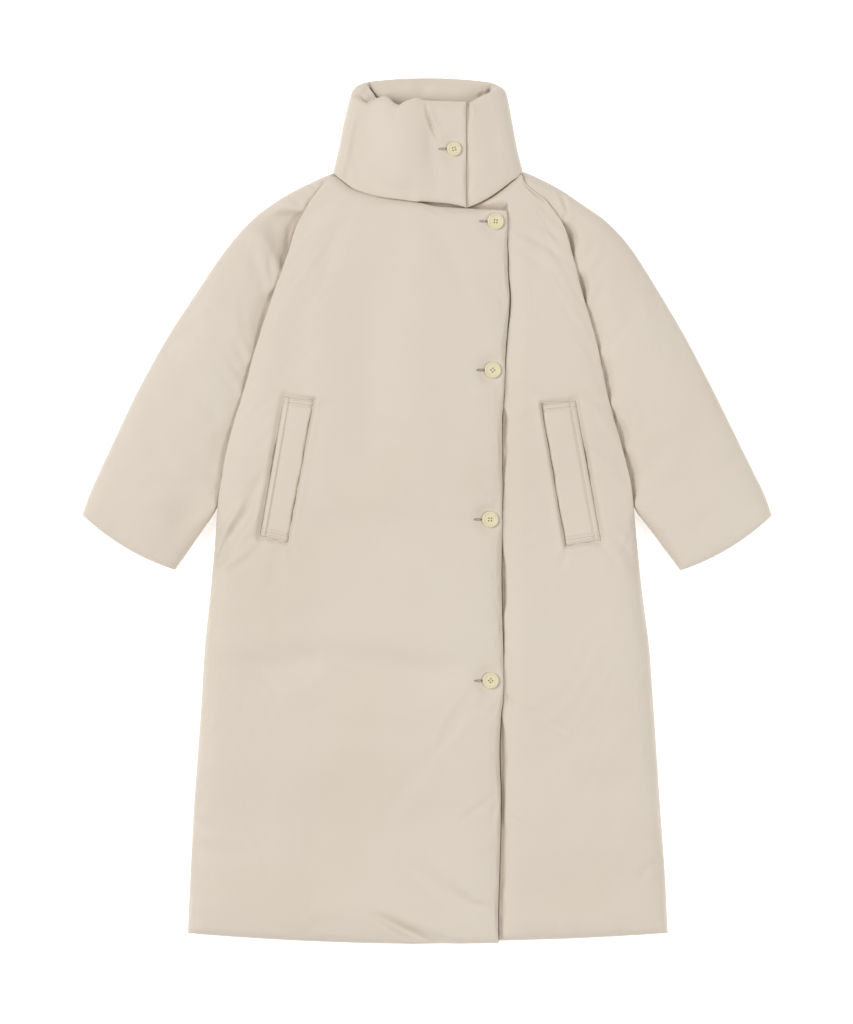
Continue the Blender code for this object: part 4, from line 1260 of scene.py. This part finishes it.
def make_button(name):
    """A turned button with four drilled holes, sewn on with two bars of thread."""
    low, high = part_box(name)
    centre = (low + high) / 2
    profile = button_profile((high.x - low.x) / 2, high.z - low.z)
    mesh = bpy.data.meshes.new(f"{name}_turned")
    mesh.from_pydata([(x, 0.0, z) for x, z in profile],
                     [(i, i + 1) for i in range(len(profile) - 1)], [])
    blank = add_object(f"{name}_blank", mesh)
    screw = blank.modifiers.new("turn", "SCREW")
    screw.steps = screw.render_steps = BUTTON_STEPS
    screw.use_merge_vertices = True
    screw.merge_threshold = SLIVER
    cutters = []
    for x, y in HOLE_CENTRES:
        bpy.ops.mesh.primitive_cylinder_add(vertices=HOLE_STEPS, radius=HOLE_RADIUS, depth=0.02,
                                            location=(x, y, 0.002), rotation=(0, 0, HOLE_TURN))
        cutters.append(bpy.context.object)
        cut = blank.modifiers.new("hole", "BOOLEAN")
        cut.operation = "DIFFERENCE"
        cut.object = cutters[-1]
    bpy.context.view_layer.update()
    finished = bpy.data.meshes.new_from_object(
        blank.evaluated_get(bpy.context.evaluated_depsgraph_get()))
    for spent in (blank, *cutters):
        bpy.data.objects.remove(spent, do_unlink=True)
    work = bmesh.new()
    work.from_mesh(finished)
    bmesh.ops.remove_doubles(work, verts=work.verts, dist=SLIVER)
    bmesh.ops.dissolve_degenerate(work, edges=work.edges, dist=SLIVER)
    bmesh.ops.triangulate(work, faces=work.faces)
    work.to_mesh(finished)
    work.free()
    finished.materials.clear()
    button = add_piece(f"{name}_resin", finished, BUTTON_RESIN)
    finished.set_sharp_from_angle(angle=math.radians(35))
    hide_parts(name)
    turn = 3.5 * centre.y
    button.location = (centre.x, centre.y, low.z)
    button.rotation_euler = (0.0, 0.0, turn)
    holes = [Vector((centre.x + x * math.cos(turn) - y * math.sin(turn),
                     centre.y + x * math.sin(turn) + y * math.cos(turn),
                     high.z - BUTTON_DISH + 0.0001)) for x, y in HOLE_CENTRES]
    thread_piece(f"{name}_thread", [(holes[0], holes[1]), (holes[3], holes[2])],
                 BUTTON_THREAD_RADIUS, BUTTON_THREAD)


# Buttonholes: the length that shows beside the button, the whole length, half its width
HOLE_SHOWN, HOLE_LENGTH, HOLE_HALF_WIDTH = 0.0125, 0.026, 0.0023
HOLE_STITCHES = 60


def surface_height(grid, x, y):
    """Height of a grid at a place, from the four of its points that are nearest."""
    away = np.hypot(grid[..., 0] - x, grid[..., 1] - y).ravel()
    nearest = np.argsort(away)[:4]
    weights = 1 / (away[nearest] + 0.0003)
    return float((grid[..., 2].ravel()[nearest] * weights).sum() / weights.sum())


def make_buttonhole(name, grid):
    """A corded oval of close stitches round a slit, which the button half covers. The slit is a
    thin near-black rod of painted shade.
    """
    low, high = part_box(name)
    centre = (low + high) / 2
    left = low.x - HOLE_SHOWN
    right = left + HOLE_LENGTH
    work = bmesh.new()
    rings = []
    for step in range(2 * HOLE_STITCHES):
        turn = math.pi * step / HOLE_STITCHES
        across = math.copysign(abs(math.cos(turn)) ** 0.55, math.cos(turn))
        up = math.sin(turn) * HOLE_HALF_WIDTH
        x, y = (left + right) / 2 + across * HOLE_LENGTH / 2, centre.y + up
        x_in, y_in = x - across * 0.0012, centre.y + 0.12 * up
        z = surface_height(grid, x, y) + 0.0004
        bump = 0.00030 if step % 2 else 0.00016
        section = ((0.0, -0.0008), (0.12, bump * 0.7), (0.5, bump * 1.6), (0.88, bump * 0.7),
                   (1.0, -0.0008))
        rings.append([work.verts.new((mix(x, x_in, share), mix(y, y_in, share), z + lift))
                      for share, lift in section])
    bridge(work, rings, closed_rings=True)
    link_mesh(f"{name}_hole_stitching", work, THREAD)
    # painted shade: a thin near-black rod along the slit stands in for the shadow inside it
    ends = [Vector((x, centre.y, surface_height(grid, x, centre.y) + 0.00002))
            for x in (low.x - 0.0030, right - 0.0022)]
    thread_piece(f"{name}_hole_slit_painted_shade", [ends], BUTTON_THREAD_RADIUS, SLIT_SHADE)


# ---- studio

def make_floor():
    bpy.ops.mesh.primitive_plane_add(size=14.0, location=(0.0, 0.0, -0.0006))
    floor = bpy.context.object
    floor.name = "studio_floor"
    floor.data.materials.append(new_material("floor_paper", {
        "Base Color": (0.95, 0.95, 0.95, 1.0), "Emission Color": (1.0, 1.0, 1.0, 1.0),
        "Emission Strength": 0.50, "Roughness": 0.9, "Specular IOR Level": 0.1})[0])


# Lights: name, place, power and colour
LIGHTS = (
    ("left", (-5.4, 1.8, 6.0), 378.0, (1.0, 0.995, 0.98)),
    ("right", (5.6, -1.6, 6.0), 246.0, (1.0, 0.99, 0.97)),
)
LIGHT_SIZE = 4.6
WORLD_STRENGTH = 0.42


def make_lights():
    for name, place, power, colour in LIGHTS:
        data = bpy.data.lights.new(name, "AREA")
        data.shape = "DISK"
        data.size, data.energy, data.color = LIGHT_SIZE, power, colour
        lamp = add_object(name, data)
        lamp.location = place
        lamp.rotation_euler = (-Vector(place)).to_track_quat("-Z", "Y").to_euler()
    world = bpy.data.worlds.new("studio")
    world.use_nodes = True
    background = world.node_tree.nodes["Background"].inputs
    background["Color"].default_value = (1.0, 1.0, 1.0, 1.0)
    background["Strength"].default_value = WORLD_STRENGTH
    bpy.context.scene.world = world
    bpy.context.scene.view_settings.view_transform = "Standard"


FRAMED_HEIGHT = 1.485    # height of the view at the coat's silhouette
LENS = 240.0
SENSOR = 36.0
VIEW_CENTRE = (-0.0007, -0.0022)


def make_camera():
    data = bpy.data.cameras.new("camera")
    data.lens, data.sensor_width = LENS, SENSOR
    camera = add_object("camera", data)
    camera.location = (*VIEW_CENTRE, BACK_TOP + FRAMED_HEIGHT * LENS / SENSOR)
    bpy.context.scene.camera = camera


make_floor()
make_lights()
make_camera()
make_back()
make_front_left()
front = make_front_right()
make_sleeve(RIGHT, "sleeve_right")
make_sleeve(LEFT, "sleeve_left")
collar = make_collar()
for welt in WELTS:
    make_welt(welt)
for button in (*FRONT_BUTTONS, "button_collar"):
    make_button(button)
    make_buttonhole(button, collar if button == "button_collar" else front)
